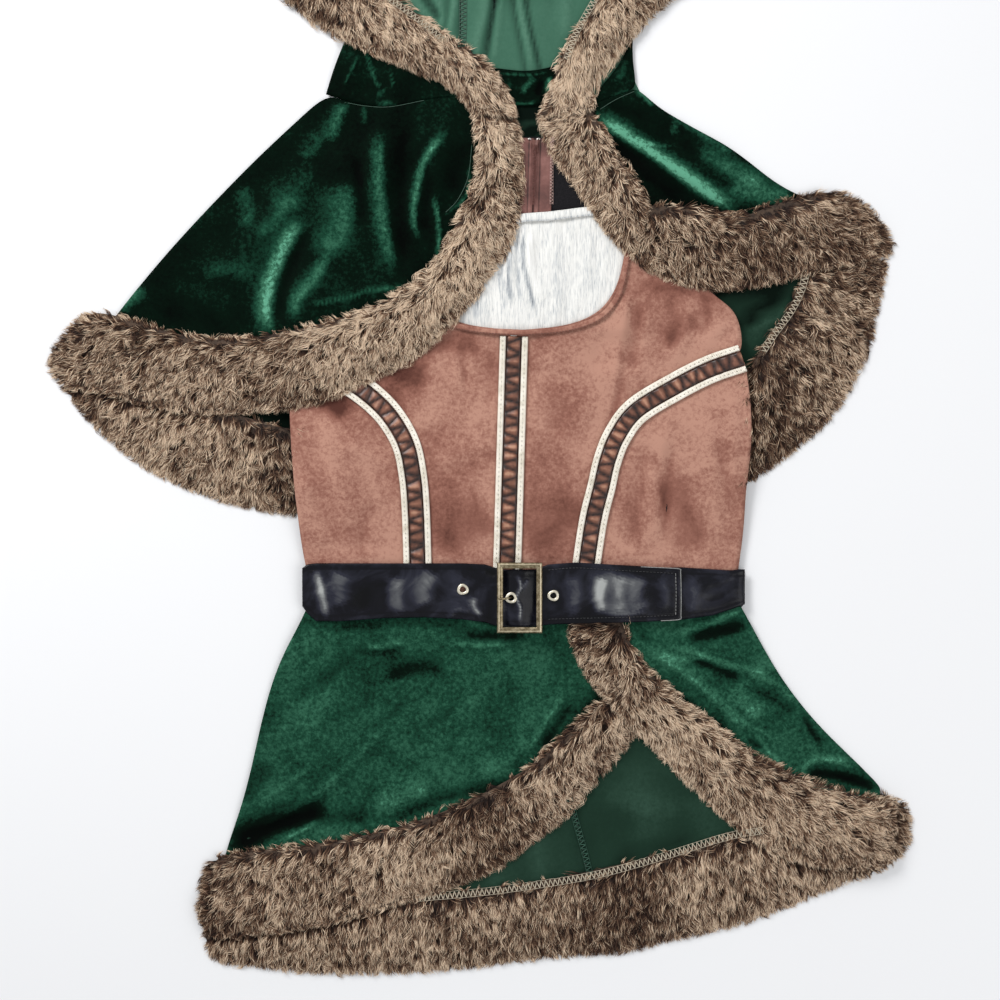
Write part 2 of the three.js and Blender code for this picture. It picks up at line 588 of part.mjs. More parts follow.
EYELETS.forEach(({ x, y }, k) => {
  const { hole, rim, lip, thick } = EYELET;
  const top = Math.max(...[[0, 0], [rim, 0], [-rim, 0], [0, rim], [0, -rim]]
    .map(([across, down]) => highestNear(x + across, y + down)));
  const profile = [[hole, 0], [rim, 0], [rim - lip, thick], [hole, thick - lip / 2], [hole, 0]]
    .map(([r, z]) => new THREE.Vector2(r, z));
  const ring = new THREE.LatheGeometry(profile, 12).rotateX(Math.PI / 2);
  add(`eyelet_${k + 1}`, 'brass', ring.translate(x - TABLE_CENTRE.x, TABLE_CENTRE.y - y, top + REST_GAP));
});

// Buckle: a bevelled frame on the strap, joined by two legs to the bar under it, and the prong
function box(x0, x1, y0, y1, z0, z1) {
  const shape = new THREE.BoxGeometry(x1 - x0, y1 - y0, z1 - z0);
  return shape.translate((x0 + x1) / 2 - TABLE_CENTRE.x, TABLE_CENTRE.y - (y0 + y1) / 2, (z0 + z1) / 2);
}

const { left, right, top, bottom, bar, thick, bevel } = BUCKLE;
let strapTop = 0;
for (let x = left - 2; x <= right + 2; x += CELL) {
  for (let y = top - 2; y <= bottom + 2; y += CELL) strapTop = Math.max(strapTop, highestNear(x, y));
}
const frameLow = strapTop + REST_GAP;
const rectangle = (inward, Kind) => new Kind([
  [left + inward, top + inward], [left + inward, bottom - inward],
  [right - inward, bottom - inward], [right - inward, top + inward],
].map(([x, y]) => new THREE.Vector2(x - TABLE_CENTRE.x, TABLE_CENTRE.y - y)));
const frameShape = rectangle(bevel, THREE.Shape);
frameShape.holes.push(rectangle(bar - bevel, THREE.Path));
const frame = new THREE.ExtrudeGeometry(frameShape, {
  depth: thick - bevel * 2, bevelThickness: bevel, bevelSize: bevel, bevelSegments: 1,
}).translate(0, 0, frameLow + bevel);
const [barLeft, barRight] = [BUCKLE_BAR.x - halfBar, BUCKLE_BAR.x + halfBar];
const [legTop, legBottom] = [top + BUCKLE_BAR.inset, bottom - BUCKLE_BAR.inset];
const legTall = bar - BUCKLE_BAR.inset * 2;
const barBox = box(barLeft, barRight, legTop, legBottom, barLow, barHigh);
const legs = [[legTop, legTop + legTall], [legBottom - legTall, legBottom]].map(([from, to]) => (
  box(barLeft, barRight, from, to, barLow, frameLow + thick / 2)));
const buckle = [barBox, ...legs].reduce((solid, part) => solid.add(solidOf(part)), solidOf(frame));
add('buckle_frame', 'brass', geometryOf(buckle));

const prongLow = (barLow + barHigh) / 2;
const prongHigh = frameLow + thick + PRONG_RADIUS + 0.4;
const prongPath = new THREE.CatmullRomCurve3(table('x y z', `
  ${barLeft - 0.3} 597 ${prongLow}, 513.5 597 ${prongLow + 0.2}, 511.4 597 ${prongLow + 2.4},
  510 597 ${frameLow - 0.6}, 507.4 597.4 ${prongHigh - 0.2}, 503 598 ${prongHigh}, 498.6 598 ${prongHigh}`)
  .map((p) => new THREE.Vector3(p.x - TABLE_CENTRE.x, TABLE_CENTRE.y - p.y, p.z)));
const prongSection = new THREE.Shape(Array.from({ length: 8 }, (_, k) => new THREE.Vector2(
  PRONG_RADIUS * Math.cos(k * Math.PI / 4), PRONG_RADIUS * Math.sin(k * Math.PI / 4))));
add('buckle_prong', 'brass', new THREE.ExtrudeGeometry(prongSection, {
  steps: 12, bevelEnabled: false, extrudePath: prongPath,
}));

// Capelet fronts and the velvet of the hood beside the neck, laid over the dress
const leftNeckSeam = edge('326 95, 345 101, 365 106, 390 107, 422 101, 450 97, 474 98', 9);
const rightNeckSeam = edge('592 105, 610 98, 637 88', 5);
lay(
  panel('cape_front_left', 'velvet', {
    top: leftNeckSeam,
    right: edge('474 98, 484 138, 482 175, 474 200, 462 224, 454 250, 436 280, 410 303', 9),
    bottom: edge('114 319, 145 337, 183 347, 247 352, 290 344, 340 331, 378 319, 410 303', 9),
    left: edge('326 95, 250 166, 160 262, 114 319', 9),
  }, VELVET_THICK, foldTable(`
    392 128 372 242 40 7, 300 180 230 270 48 6, 440 150 412 262 34 5, 290 330 250 280 40 4,
    350 150 320 300 36 4`)),
  panel('cape_front_right', 'velvet', {
    top: rightNeckSeam,
    right: edge('637 88, 651 103, 700 132, 733 150, 785 190, 820 203', 8),
    bottom: edge('638 215, 674 217, 710 218, 738 228, 773 215, 820 203', 5),
    left: edge('592 105, 604 146, 624 182, 638 215', 8),
  }, VELVET_THICK, foldTable('600 118 735 208 34 6, 640 116 760 190 30 3')),
  panel('hood_front_left', 'velvet', {
    top: edge('346 40, 390 42, 440 62, 476 90', 9),
    right: edge('476 90, 474 98', 2),
    bottom: leftNeckSeam,
    left: edge('346 40, 334 68, 326 95', 2),
  }, VELVET_THICK, foldTable('352 96 360 60 20 3, 388 102 392 66 20 2')),
  panel('hood_front_right', 'velvet', {
    top: edge('600 88, 622 60, 634 24', 5),
    right: edge('634 24, 632 57, 637 88', 3),
    bottom: rightNeckSeam,
    left: edge('600 88, 592 105', 3),
  }, VELVET_THICK),
);

// Fur of the capelet fronts; on the right one the front edge and the hem meet in a mitre
lay(
  furBand('fur_cape_front_left', `
    470 106 511 110 8, 477 129 517 133 11, 479 155 520 160 12, 476 180 520 188 12, 468 202 517 214 12,
    457 223 509 246 12, 446 247 491 271 12, 430 270 472 299 12, 408 288 450 323 13, 381 305 424 350 13,
    348 317 384 373 13, 312 327 338 395 13, 275 335 290 408 13, 238 340 236 410 13, 200 338 180 410 13,
    164 331 134 399 13, 132 320 97 389 12, 104 314 66 385 11, 84 317 51 367 8, 74 326 55 350 5`),
  furBand('fur_cape_front_right_edge', `
    589 108 539 113 8, 598 124 544 132 11, 608 143 553 155 12, 620 162 571 178 12, 631 178 591 208 12,
    640 194 612 237 12, 646 208 632 258 11`),
  furBand('fur_cape_front_right_hem', `
    646.5 208 632.5 258 11, 662 208 652 271 12, 682 208 680 283 12, 708 209 712 288 12, 736 219 744 286 12,
    766 208 778 280 12, 795 199 815 270 12, 822 193 846 263 12, 848 196 872 258 10, 868 209 887 254 8,
    880 224 892 246 5`),
);

// Fur of the hood edge, in two halves that meet at the top
lay(
  furBand('fur_hood_left', `
    513 117 473 111 8, 506 93 464 99 11, 489 67 447 83 12, 462 47 418 71 12, 430 24 378 55 13,
    400 3 338 36 13, 362 -22 302 12 13, 322 -46 264 -22 13, 285 -80 224 -70 13, 268 -122 206 -122 13,
    282 -166 226 -186 13, 325 -200 283 -242 13, 392 -224 372 -277 13, 482 -234 482 -290 12`),
  furBand('fur_hood_right', `
    541 116 590 110 8, 551 95 593 88 11, 557 72 607 67 12, 565 50 624 47 12, 582 21 641 25 13,
    602 -4 662 5 13, 625 -35 690 -18 13, 640 -75 708 -70 13, 645 -120 712 -128 13, 628 -165 688 -188 13,
    590 -200 632 -240 13, 535 -222 560 -275 13, 482.4 -234 482.4 -290 12`),
);

export default costume;
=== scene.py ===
import math

import bmesh
import bpy
import numpy as np
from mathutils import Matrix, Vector, kdtree
from mathutils.bvhtree import BVHTree


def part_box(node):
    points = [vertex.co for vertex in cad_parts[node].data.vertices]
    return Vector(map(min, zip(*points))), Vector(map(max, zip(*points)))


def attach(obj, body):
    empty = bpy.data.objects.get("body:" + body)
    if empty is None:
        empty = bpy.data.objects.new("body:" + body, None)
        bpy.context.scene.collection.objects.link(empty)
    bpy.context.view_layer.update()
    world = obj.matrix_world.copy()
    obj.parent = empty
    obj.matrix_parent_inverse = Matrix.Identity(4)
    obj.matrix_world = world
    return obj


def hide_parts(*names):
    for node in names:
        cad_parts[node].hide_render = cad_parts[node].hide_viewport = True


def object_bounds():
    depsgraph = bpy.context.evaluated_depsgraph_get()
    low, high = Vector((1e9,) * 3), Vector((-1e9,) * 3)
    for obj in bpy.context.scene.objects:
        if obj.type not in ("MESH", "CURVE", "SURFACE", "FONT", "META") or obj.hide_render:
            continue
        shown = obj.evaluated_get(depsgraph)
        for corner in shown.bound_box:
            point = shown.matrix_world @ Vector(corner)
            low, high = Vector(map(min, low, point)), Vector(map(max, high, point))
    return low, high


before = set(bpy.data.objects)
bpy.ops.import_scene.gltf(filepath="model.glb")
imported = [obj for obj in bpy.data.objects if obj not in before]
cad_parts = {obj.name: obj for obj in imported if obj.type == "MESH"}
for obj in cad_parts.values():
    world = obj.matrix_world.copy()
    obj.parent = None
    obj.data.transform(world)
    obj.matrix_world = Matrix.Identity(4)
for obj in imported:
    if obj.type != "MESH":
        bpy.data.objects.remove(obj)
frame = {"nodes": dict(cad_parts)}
cad_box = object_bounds()

# Table, light and camera
# The costume lies on a pale table and is seen from straight above, with the hem towards the viewer.
# Places on it are given in millimetres on the cutting table: x to the right, y towards the hem.
TABLE_CENTRE = (479.5, 340.5)
VIEW_CENTRE = (500, 500)
VIEW_WIDE = 1.0
LENS = 85
SENSOR = 36


def spot(x, y):
    return (x - TABLE_CENTRE[0]) / 1000, (TABLE_CENTRE[1] - y) / 1000


bpy.ops.object.select_all(action="DESELECT")
bpy.ops.mesh.primitive_plane_add(size=8, location=(0, 0, 0))
table = bpy.context.object
table.name = "table"
table_paint = bpy.data.materials.new("table paint")
table_paint.use_nodes = True
table_shader = table_paint.node_tree.nodes["Principled BSDF"]
table_shader.inputs["Base Color"].default_value = (0.86, 0.86, 0.87, 1)
table_shader.inputs["Roughness"].default_value = 0.8
table.data.materials.append(table_paint)

bpy.ops.object.camera_add(location=(*spot(*VIEW_CENTRE), VIEW_WIDE * LENS / SENSOR), rotation=(0, 0, 0))
camera = bpy.context.object
camera.data.lens = LENS
camera.data.sensor_width = SENSOR
bpy.context.scene.camera = camera


def soft_light(name, place, aim, size, power):
    bpy.ops.object.light_add(type="AREA", location=place)
    light = bpy.context.object
    light.name = name
    light.data.size = size
    light.data.energy = power
    light.rotation_euler = (Vector(aim) - Vector(place)).to_track_quat("-Z", "Y").to_euler()


soft_light("window", (-1.3, 1.5, 1.5), (0, -0.1, 0), 0.9, 50)
soft_light("panel", (1.6, -0.9, 1.9), (0, -0.1, 0), 1.8, 18)
room = bpy.data.worlds.new("room")
room.use_nodes = True
room.node_tree.nodes["Background"].inputs["Color"].default_value = (0.96, 0.98, 1, 1)
room.node_tree.nodes["Background"].inputs["Strength"].default_value = 0.55
bpy.context.scene.world = room
bpy.context.scene.view_settings.view_transform = "Standard"

# Hood halves, capelet back and neck band
# Short-pile stretch velvet, cut in panels, gathered into the neck and overlocked. All but the neck band lie
# with the reverse side up, so they show the matt knit behind the pile.
MERGE = 0.000002
UPWARD = 0.15
CELL = 0.002
MARGIN = 0.06
SLACK = 0.02
STEEP_SIDE = 1.7
SOFT_SIDE = 0.85
FADE_RATE = 4.5
CREASE_STEP = 0.003
COVER_GAP = 0.0006
COVER_SHARE = 2.2
TUCKED = 0.0004


def facets(node, upward):
    """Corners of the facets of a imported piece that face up, or down."""
    mesh = frame["nodes"][node].data
    mesh.calc_loop_triangles()
    spots = np.empty(len(mesh.vertices) * 3)
    mesh.vertices.foreach_get("co", spots)
    index = np.empty(len(mesh.loop_triangles) * 3, dtype=int)
    mesh.loop_triangles.foreach_get("vertices", index)
    corners = spots.reshape(-1, 3)[index.reshape(-1, 3)]
    normals = np.cross(corners[:, 1] - corners[:, 0], corners[:, 2] - corners[:, 0])
    normals /= np.linalg.norm(normals, axis=1)[:, None] + 1e-12
    keep = normals[:, 2] > UPWARD if upward else normals[:, 2] < -UPWARD
    return corners[keep]


def tree_of(corners):
    points = corners.reshape(-1, 3).tolist()
    return BVHTree.FromPolygons(points, [(k, k + 1, k + 2) for k in range(0, len(points), 3)])


class Relief:
    """The height of the highest surface over a fine grid of cells."""

    def __init__(self, names):
        low, high = (np.array(v[:2]) for v in cad_box)
        self.low = low - MARGIN
        self.count = np.ceil((high + MARGIN - self.low) / CELL).astype(int)
        self.height = np.zeros(self.count)
        for name in names:
            for corners in facets(name, True):
                self.add(corners)

    def add(self, corners):
        first = np.floor((corners[:, :2].min(axis=0) - self.low) / CELL).astype(int)
        last = np.ceil((corners[:, :2].max(axis=0) - self.low) / CELL).astype(int) + 1
        xs = self.low[0] + (np.arange(first[0], last[0]) + 0.5) * CELL
        ys = self.low[1] + (np.arange(first[1], last[1]) + 0.5) * CELL
        gx, gy = np.meshgrid(xs, ys, indexing="ij")
        a, b, c = corners
        area = (b[0] - a[0]) * (c[1] - a[1]) - (c[0] - a[0]) * (b[1] - a[1])
        if abs(area) < 1e-12:
            return
        v = ((gx - a[0]) * (c[1] - a[1]) - (c[0] - a[0]) * (gy - a[1])) / area
        w = ((b[0] - a[0]) * (gy - a[1]) - (gx - a[0]) * (b[1] - a[1])) / area
        inside = (v >= -SLACK) & (w >= -SLACK) & (v + w <= 1 + SLACK)
        z = np.where(inside, a[2] + v * (b[2] - a[2]) + w * (c[2] - a[2]), 0)
        patch = self.height[first[0]:last[0], first[1]:last[1]]
        np.maximum(patch, z, out=patch)

    def at(self, x, y):
        column = np.clip(((x - self.low[0]) / CELL).astype(int), 0, self.count[0] - 1)
        row = np.clip(((y - self.low[1]) / CELL).astype(int), 0, self.count[1] - 1)
        return self.height[column, row]


everything = Relief(frame["nodes"])


def route(line, step):
    """Even points, in metres, on a smooth curve through marks on the table: 'x y, x y, ...' in mm."""
    marks = np.array([spot(*map(float, mark.split())) for mark in line.split(",")])
    ends = np.vstack([2 * marks[0] - marks[1], marks, 2 * marks[-1] - marks[-2]])
    t = np.linspace(0, 1, 24, endpoint=False)[:, None]
    fine = []
    for a, b, c, d in zip(ends, ends[1:], ends[2:], ends[3:]):
        bend = (2 * a - 5 * b + 4 * c - d) * t ** 2 + (3 * b - a - 3 * c + d) * t ** 3
        fine.append(0.5 * (2 * b + (c - a) * t + bend))
    fine = np.vstack([*fine, marks[-1:]])
    run = np.concatenate([[0], np.cumsum(np.linalg.norm(np.diff(fine, axis=0), axis=1))])
    even = np.linspace(0, run[-1], max(2, round(run[-1] / step) + 1))
    return np.column_stack([np.interp(even, run, fine[:, k]) for k in range(2)])


def right_of(path):
    way = np.gradient(path, axis=0)
    way /= np.linalg.norm(way, axis=1)[:, None]
    return np.column_stack([way[:, 1], -way[:, 0]])


def crease_relief(points, creases):
    """Height and painted light of the given creases. A row: its line on the table, wide and high in mm, and
    shine.

    The relief falls off steeply on the right of the line and softly on its left. A negative height is a
    trough. Shine is painted light: a positive shine is a painted highlight, a negative one painted shade.
    """
    height = np.zeros(len(points))
    painted_light = np.zeros(len(points))
    for line, wide, high, shine in creases:
        path = route(line, CREASE_STEP)
        gap = points[:, None, :2] - path[None]
        near = (gap ** 2).sum(axis=2).argmin(axis=1)
        gap = gap[np.arange(len(points)), near]
        across = (gap * right_of(path)[near]).sum(axis=1)
        away = np.linalg.norm(gap, axis=1) * 1000 / wide * np.where(across > 0, STEEP_SIDE, SOFT_SIDE)
        along = near / (len(path) - 1)
        fade = np.clip(np.minimum(along, 1 - along) * FADE_RATE, 0, 1)
        fade = fade * fade * (3 - 2 * fade)
        ridge = np.exp(-away ** 2) * fade
        height += ridge * high / 1000
        painted_light += ridge * shine
    return height, painted_light


def finish(piece, material, replaced=()):
    piece.data.materials.clear()
    piece.data.materials.append(material)
    piece.data.polygons.foreach_set("use_smooth", np.ones(len(piece.data.polygons), dtype=bool))
    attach(piece, "root")
    if replaced:
        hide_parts(*replaced)


def select_only(piece):
    bpy.ops.object.select_all(action="DESELECT")
    bpy.context.view_layer.objects.active = piece
    piece.select_set(True)


def apply_modifiers(piece):
    select_only(piece)
    for modifier in list(piece.modifiers):
        bpy.ops.object.modifier_apply(modifier=modifier.name)


def thicken(piece, thick):
    wall = piece.modifiers.new("thickness", "SOLIDIFY")
    wall.thickness = thick
    wall.offset = -1
    apply_modifiers(piece)


def upper_side(node, name, levels):
    """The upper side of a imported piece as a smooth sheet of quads."""
    piece = bpy.data.objects.new(name, frame["nodes"][node].data.copy())
    bpy.context.collection.objects.link(piece)
    select_only(piece)
    bpy.ops.object.mode_set(mode="EDIT")
    bpy.ops.mesh.select_mode(type="FACE")
    bpy.ops.mesh.select_all(action="SELECT")
    bpy.ops.mesh.remove_doubles(threshold=MERGE)
    mesh = bmesh.from_edit_mesh(piece.data)
    mesh.normal_update()
    for face in mesh.faces:
        face.select_set(face.normal.z < UPWARD)
    bmesh.update_edit_mesh(piece.data)
    bpy.ops.mesh.delete(type="FACE")
    bpy.ops.mesh.select_all(action="SELECT")
    bpy.ops.mesh.tris_convert_to_quads(face_threshold=math.pi, shape_threshold=math.pi)
    bpy.ops.object.mode_set(mode="OBJECT")
    round_off = piece.modifiers.new("round off", "SUBSURF")
    round_off.levels = round_off.render_levels = levels
    round_off.boundary_smooth = "PRESERVE_CORNERS"
    apply_modifiers(piece)
    return piece


def points_of(piece):
    spots = np.empty(len(piece.data.vertices) * 3)
    piece.data.vertices.foreach_get("co", spots)
    return spots.reshape(-1, 3)


def edges_of(piece):
    edges = np.empty(len(piece.data.edges) * 2, dtype=int)
    piece.data.edges.foreach_get("vertices", edges)
    return edges.reshape(-1, 2)


def smoothed(values, edges, rounds):
    """Evens out values over a mesh by averaging along its edges."""
    count = np.bincount(edges.ravel(), minlength=len(values))
    for _ in range(rounds):
        total = np.bincount(edges[:, 0], values[edges[:, 1]], len(values))
        total += np.bincount(edges[:, 1], values[edges[:, 0]], len(values))
        values = 0.5 * values + 0.5 * total / np.maximum(count, 1)
    return values


def dropped_on(tree, points, upwards=False):
    """Heights where plumb lines through the points meet a surface, or its nearest spot beside it."""
    heights = np.empty(len(points))
    start, way = (-1.0, Vector((0, 0, 1))) if upwards else (1.0, Vector((0, 0, -1)))
    for k, (x, y, z) in enumerate(points):
        hit = tree.ray_cast(Vector((x, y, start)), way)[0]
        heights[k] = (hit or tree.find_nearest(Vector((x, y, z)))[0]).z
    return heights


def surface_at(node, flat):
    """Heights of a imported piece's upper side at places on the table."""
    return dropped_on(tree_of(facets(node, True)), np.column_stack([flat, np.zeros(len(flat))]))


# Painted light per point: painted highlights and painted shade that the materials add to their colour.
def set_painted_light(piece, painted_light):
    lay = piece.data.attributes.new("painted_light", "FLOAT", "POINT")
    lay.data.foreach_set("value", painted_light)


def cloth(node, name, levels, thick, ease, creases=(), crinkle=None):
    """A thin sheet over a packed wall, with its creases, kept below whatever lies on it."""
    piece = upper_side(node, name, levels)
    points = points_of(piece)
    edges = edges_of(piece)
    surface = dropped_on(tree_of(facets(node, True)), points)
    height, painted_light = crease_relief(points, creases)
    if crinkle:
        across, along = points[:, 0] * 1000 + TABLE_CENTRE[0], TABLE_CENTRE[1] - points[:, 1] * 1000
        height = height + crinkle(across, along)
    cover = everything.at(points[:, 0], points[:, 1])
    hidden = smoothed(np.where(cover > surface + COVER_GAP, 1.0, 0.0), edges, 4)
    open_share = np.clip(1 - hidden * COVER_SHARE, 0, 1)
    raised = smoothed(surface, edges, ease) + height * open_share - hidden.clip(0, 1) * TUCKED
    points[:, 2] = np.maximum(raised, thick)
    piece.data.vertices.foreach_set("co", points.ravel())
    set_painted_light(piece, painted_light)
    thicken(piece, thick)
    return piece


def new_material(name):
    material = bpy.data.materials.new(name)
    material.use_nodes = True
    return material, material.node_tree, material.node_tree.nodes["Principled BSDF"]


def add_node(tree, kind, **values):
    node = tree.nodes.new(kind)
    for key, value in values.items():
        if hasattr(node, key):
            setattr(node, key, value)
        else:
            node.inputs[key.replace("_", " ")].default_value = value
    return node


def math_node(tree, operation, *values):
    """A Math node whose inputs are sockets or plain numbers; gives its output socket."""
    node = add_node(tree, "ShaderNodeMath", operation=operation)
    for k, value in enumerate(values):
        if isinstance(value, (int, float)):
            node.inputs[k].default_value = value
        else:
            tree.links.new(value, node.inputs[k])
    return node.outputs[0]


def ramp(tree, factor, stops):
    node = tree.nodes.new("ShaderNodeValToRGB")
    elements = node.color_ramp.elements
    while len(elements) < len(stops):
        elements.new(0.5)
    for element, (place, colour) in zip(elements, stops):
        element.position = place
        element.color = (*colour, 1)
    tree.links.new(factor, node.inputs["Fac"])
    return node.outputs["Color"]


def noise(tree, scale, detail=3, rough=0.6, distortion=0.0, squeeze=None):
    """Noise on object coordinates, as a value that lies evenly about zero."""
    place = tree.nodes.new("ShaderNodeTexCoord").outputs["Object"]
    if squeeze:
        turn = tree.nodes.new("ShaderNodeMapping")
        turn.inputs["Scale"].default_value = squeeze
        tree.links.new(place, turn.inputs["Vector"])
        place = turn.outputs["Vector"]
    cloud = add_node(tree, "ShaderNodeTexNoise", Detail=detail, Roughness=rough, Distortion=distortion)
    if isinstance(scale, (int, float)):
        cloud.inputs["Scale"].default_value = scale
    else:
        tree.links.new(scale, cloud.inputs["Scale"])
    tree.links.new(place, cloud.inputs["Vector"])
    return math_node(tree, "SUBTRACT", cloud.outputs["Fac"], 0.5)


def paint(tree, shader, value, stops, rough=None, specular=None):
    """Colours a shader by a value that runs through a ramp, and sets how glossy it is."""
    tree.links.new(ramp(tree, value, stops), shader.inputs["Base Color"])
    if rough is not None:
        shader.inputs["Roughness"].default_value = rough
    if specular is not None:
        shader.inputs["Specular IOR Level"].default_value = specular


def painted_light_of(tree):
    return add_node(tree, "ShaderNodeAttribute", attribute_name="painted_light").outputs["Fac"]


def bumped(tree, shader, height, strength, distance):
    bump = add_node(tree, "ShaderNodeBump", Strength=strength, Distance=distance)
    tree.links.new(height, bump.inputs["Height"])
    tree.links.new(bump.outputs["Normal"], shader.inputs["Normal"])


def mottle_and_painted_light_group():
    """Colour of napped cloth: mottles, speckle, painted highlights and shade of its creases, grain of its
    pile.
    """
    group = bpy.data.node_groups.new("painted_light", "ShaderNodeTree")
    for name in ("Patch size", "Mottle", "Speckle", "Base", "Painted light"):
        group.interface.new_socket(name, in_out="INPUT", socket_type="NodeSocketFloat")
    for name in ("Tone and painted light", "Grain"):
        group.interface.new_socket(name, in_out="OUTPUT", socket_type="NodeSocketFloat")
    given = group.nodes.new("NodeGroupInput").outputs
    result = group.nodes.new("NodeGroupOutput").inputs
    fleck = noise(group, 260, 3, 0.7, 0.3)
    broad = noise(group, given["Patch size"], 4, 0.6, 0.8)
    mottled = math_node(group, "MULTIPLY_ADD", broad, given["Mottle"], given["Base"])
    speckled = math_node(group, "MULTIPLY_ADD", fleck, given["Speckle"], mottled)
    # Painted highlights and painted shade of the creases, flecked.
    lit = math_node(group, "MULTIPLY", math_node(group, "MULTIPLY_ADD", fleck, 1.4, 1.0), given["Painted light"])
    group.links.new(math_node(group, "ADD", speckled, lit), result["Tone and painted light"])
    group.links.new(noise(group, 1000, 2, 0.7), result["Grain"])
    return group


mottle_and_painted_light = mottle_and_painted_light_group()


def napped(name, stops, base, patch, mottle, speckle, rough, specular, sheen, tint, bump=0.35):
    """Velvet, its reverse side or suede: colours from dark to light, for its mottles and its painted light.
    """
    material, tree, shader = new_material(name)
    painted_light = add_node(tree, "ShaderNodeGroup", node_tree=mottle_and_painted_light)
    for socket, value in {"Patch size": patch, "Mottle": mottle, "Speckle": speckle, "Base": base}.items():
        painted_light.inputs[socket].default_value = value
    tree.links.new(painted_light_of(tree), painted_light.inputs["Painted light"])
    paint(tree, shader, painted_light.outputs["Tone and painted light"], stops, rough, specular)
    bumped(tree, shader, painted_light.outputs["Grain"], bump, 0.0004)
    shader.inputs["Sheen Weight"].default_value = sheen
    shader.inputs["Sheen Roughness"].default_value = 0.4
    shader.inputs["Sheen Tint"].default_value = (*tint, 1)
    return material


PILE_SIDE = [
    (0.2, (0.0003, 0.0010, 0.0006)), (0.4, (0.0010, 0.0062, 0.0030)), (0.6, (0.0088, 0.0500, 0.0280)),
    (0.82, (0.036, 0.135, 0.080)), (1.0, (0.11, 0.34, 0.22))]
HOOD_SIDE = [(0.1, (0.001, 0.004, 0.003)), (0.5, (0.046, 0.128, 0.084)), (0.9, (0.115, 0.250, 0.175))]
SKIRT_SIDE = [(0.15, (0.0015, 0.005, 0.003)), (0.5, (0.0125, 0.034, 0.0215)), (0.9, (0.040, 0.090, 0.062))]
GREEN_SHEEN = (0.25, 0.75, 0.5)
cape_velvet = napped("capelet velvet", PILE_SIDE, 0.35, 9, 0.6, 0.34, 0.75, 0.03, 0.03, GREEN_SHEEN)
skirt_velvet = napped("skirt velvet", PILE_SIDE, 0.60, 13, 0.55, 0.62, 0.75, 0.04, 0.04, GREEN_SHEEN)
hood_lining = napped("hood reverse side", HOOD_SIDE, 0.52, 6, 0.25, 0.12, 0.85, 0.1, 0.06, GREEN_SHEEN)
# The capelet back's reverse side is the skirt's reverse side made darker all over: painted shade.
shaded_cape_lining = napped("capelet reverse side in painted shade", SKIRT_SIDE, 0.34, 6, 0.4, 0.12, 0.85, 0.05, 0.02, GREEN_SHEEN)
skirt_lining = napped("skirt reverse side", SKIRT_SIDE, 0.5, 6, 0.3, 0.12, 0.85, 0.06, 0.02, GREEN_SHEEN)

VELVET_SHEET = 0.0009
HOOD_CREASES = {
    "left": [
        ("446 62, 450 30, 455 -10, 458 -80, 452 -160", 6, 2.4, 0.2),
        ("440 56, 446 24, 450 -6, 450 -90", 4.5, -2.2, -0.28),
        ("392 -24, 418 2, 452 52", 6, 2, 0.16), ("404 -30, 424 0, 442 26", 7, -2, -0.36),
        ("452 58, 462 24, 468 -20, 468 -120", 5, -1.2, -0.26), ("424 -20, 441 12, 438 30", 3, 1, 0.3),
        ("420 0, 424 -80, 420 -190", 9, 3, 0.25), ("400 -24, 403 -120", 5, -2, -0.35),
        ("380 -30, 384 -110, 380 -210", 11, 3.2, 0.22), ("345 -60, 350 -120, 346 -200", 10, 2.4, 0.2),
        ("310 -60, 308 -150", 10, 2.2, 0.2),
    ],
    "right": [
        ("480 92, 487 54, 493 16, 498 -20, 500 -90, 498 -170", 4.6, -2.4, -0.36),
        ("472 76, 479 40, 488 4, 491 -80", 6, 2.2, 0.16), ("493 70, 499 20, 504 -30", 3, 1, 0.12),
        ("536 90, 530 50, 522 10, 516 -40, 512 -150", 4, 2.6, 0.22),
        ("546 96, 537 54, 528 10, 522 -50", 3.6, -2, -0.3),
        ("531 96, 523 54, 515 10, 510 -50", 3.2, -1.4, -0.24),
        ("480 -4, 520 -6, 560 -2", 16, -0.4, -0.12),
        ("566 44, 567 0, 570 -60", 8, 1.6, 0.1), ("545 20, 548 -60, 556 -180", 9, 2.6, 0.16),
        ("590 -20, 600 -100, 596 -200", 12, 3, 0.22), ("575 -40, 580 -140", 5, -2, -0.3),
        ("632 -50, 642 -120", 10, 2.2, 0.2),
    ],
}
for side, creases in HOOD_CREASES.items():
    half = cloth(f"hood_back_{side}", f"hood_{side}_half", 3, VELVET_SHEET, 6, creases)
    finish(half, hood_lining, [f"hood_back_{side}"])
# The two rows at y 111 and 128 paint shadow under the neck band; the others paint highlights on ridges and
# shade in troughs.
back = cloth("cape_back", "capelet_back", 2, VELVET_SHEET, 2, [
    ("236 416, 262 422, 292 430", 10, -0.4, -0.5), ("740 352, 762 326, 800 306", 8, 1.6, 0.22),
    ("744 334, 760 312, 790 288", 9, -1.2, -0.3),
    ("690 296, 740 290, 800 280", 12, -0.6, -0.3), ("500 111, 528 113, 560 110", 4.5, -0.6, -0.8),
    ("508 128, 528 131, 548 127", 3, -0.4, -0.5)])
finish(back, shaded_cape_lining, ["cape_back"])
band = cloth("neck_band", "neck_band_velvet", 3, VELVET_SHEET, 3, [
    ("521 96, 529 86, 537 78", 4, 1.4, 0.3), ("548 98, 551 76", 3.5, 1.4, 0.6),
    ("506 97, 512 78", 5, 1.2, 0.12),
    ("512 105, 525 105, 541 102", 1.6, 0.6, 0.35), ("480 73, 520 76, 552 73", 2, 0.8, 0.3),
    ("538 97, 543 80", 3, -0.8, -0.25)])
finish(band, cape_velvet, ["neck_band"])

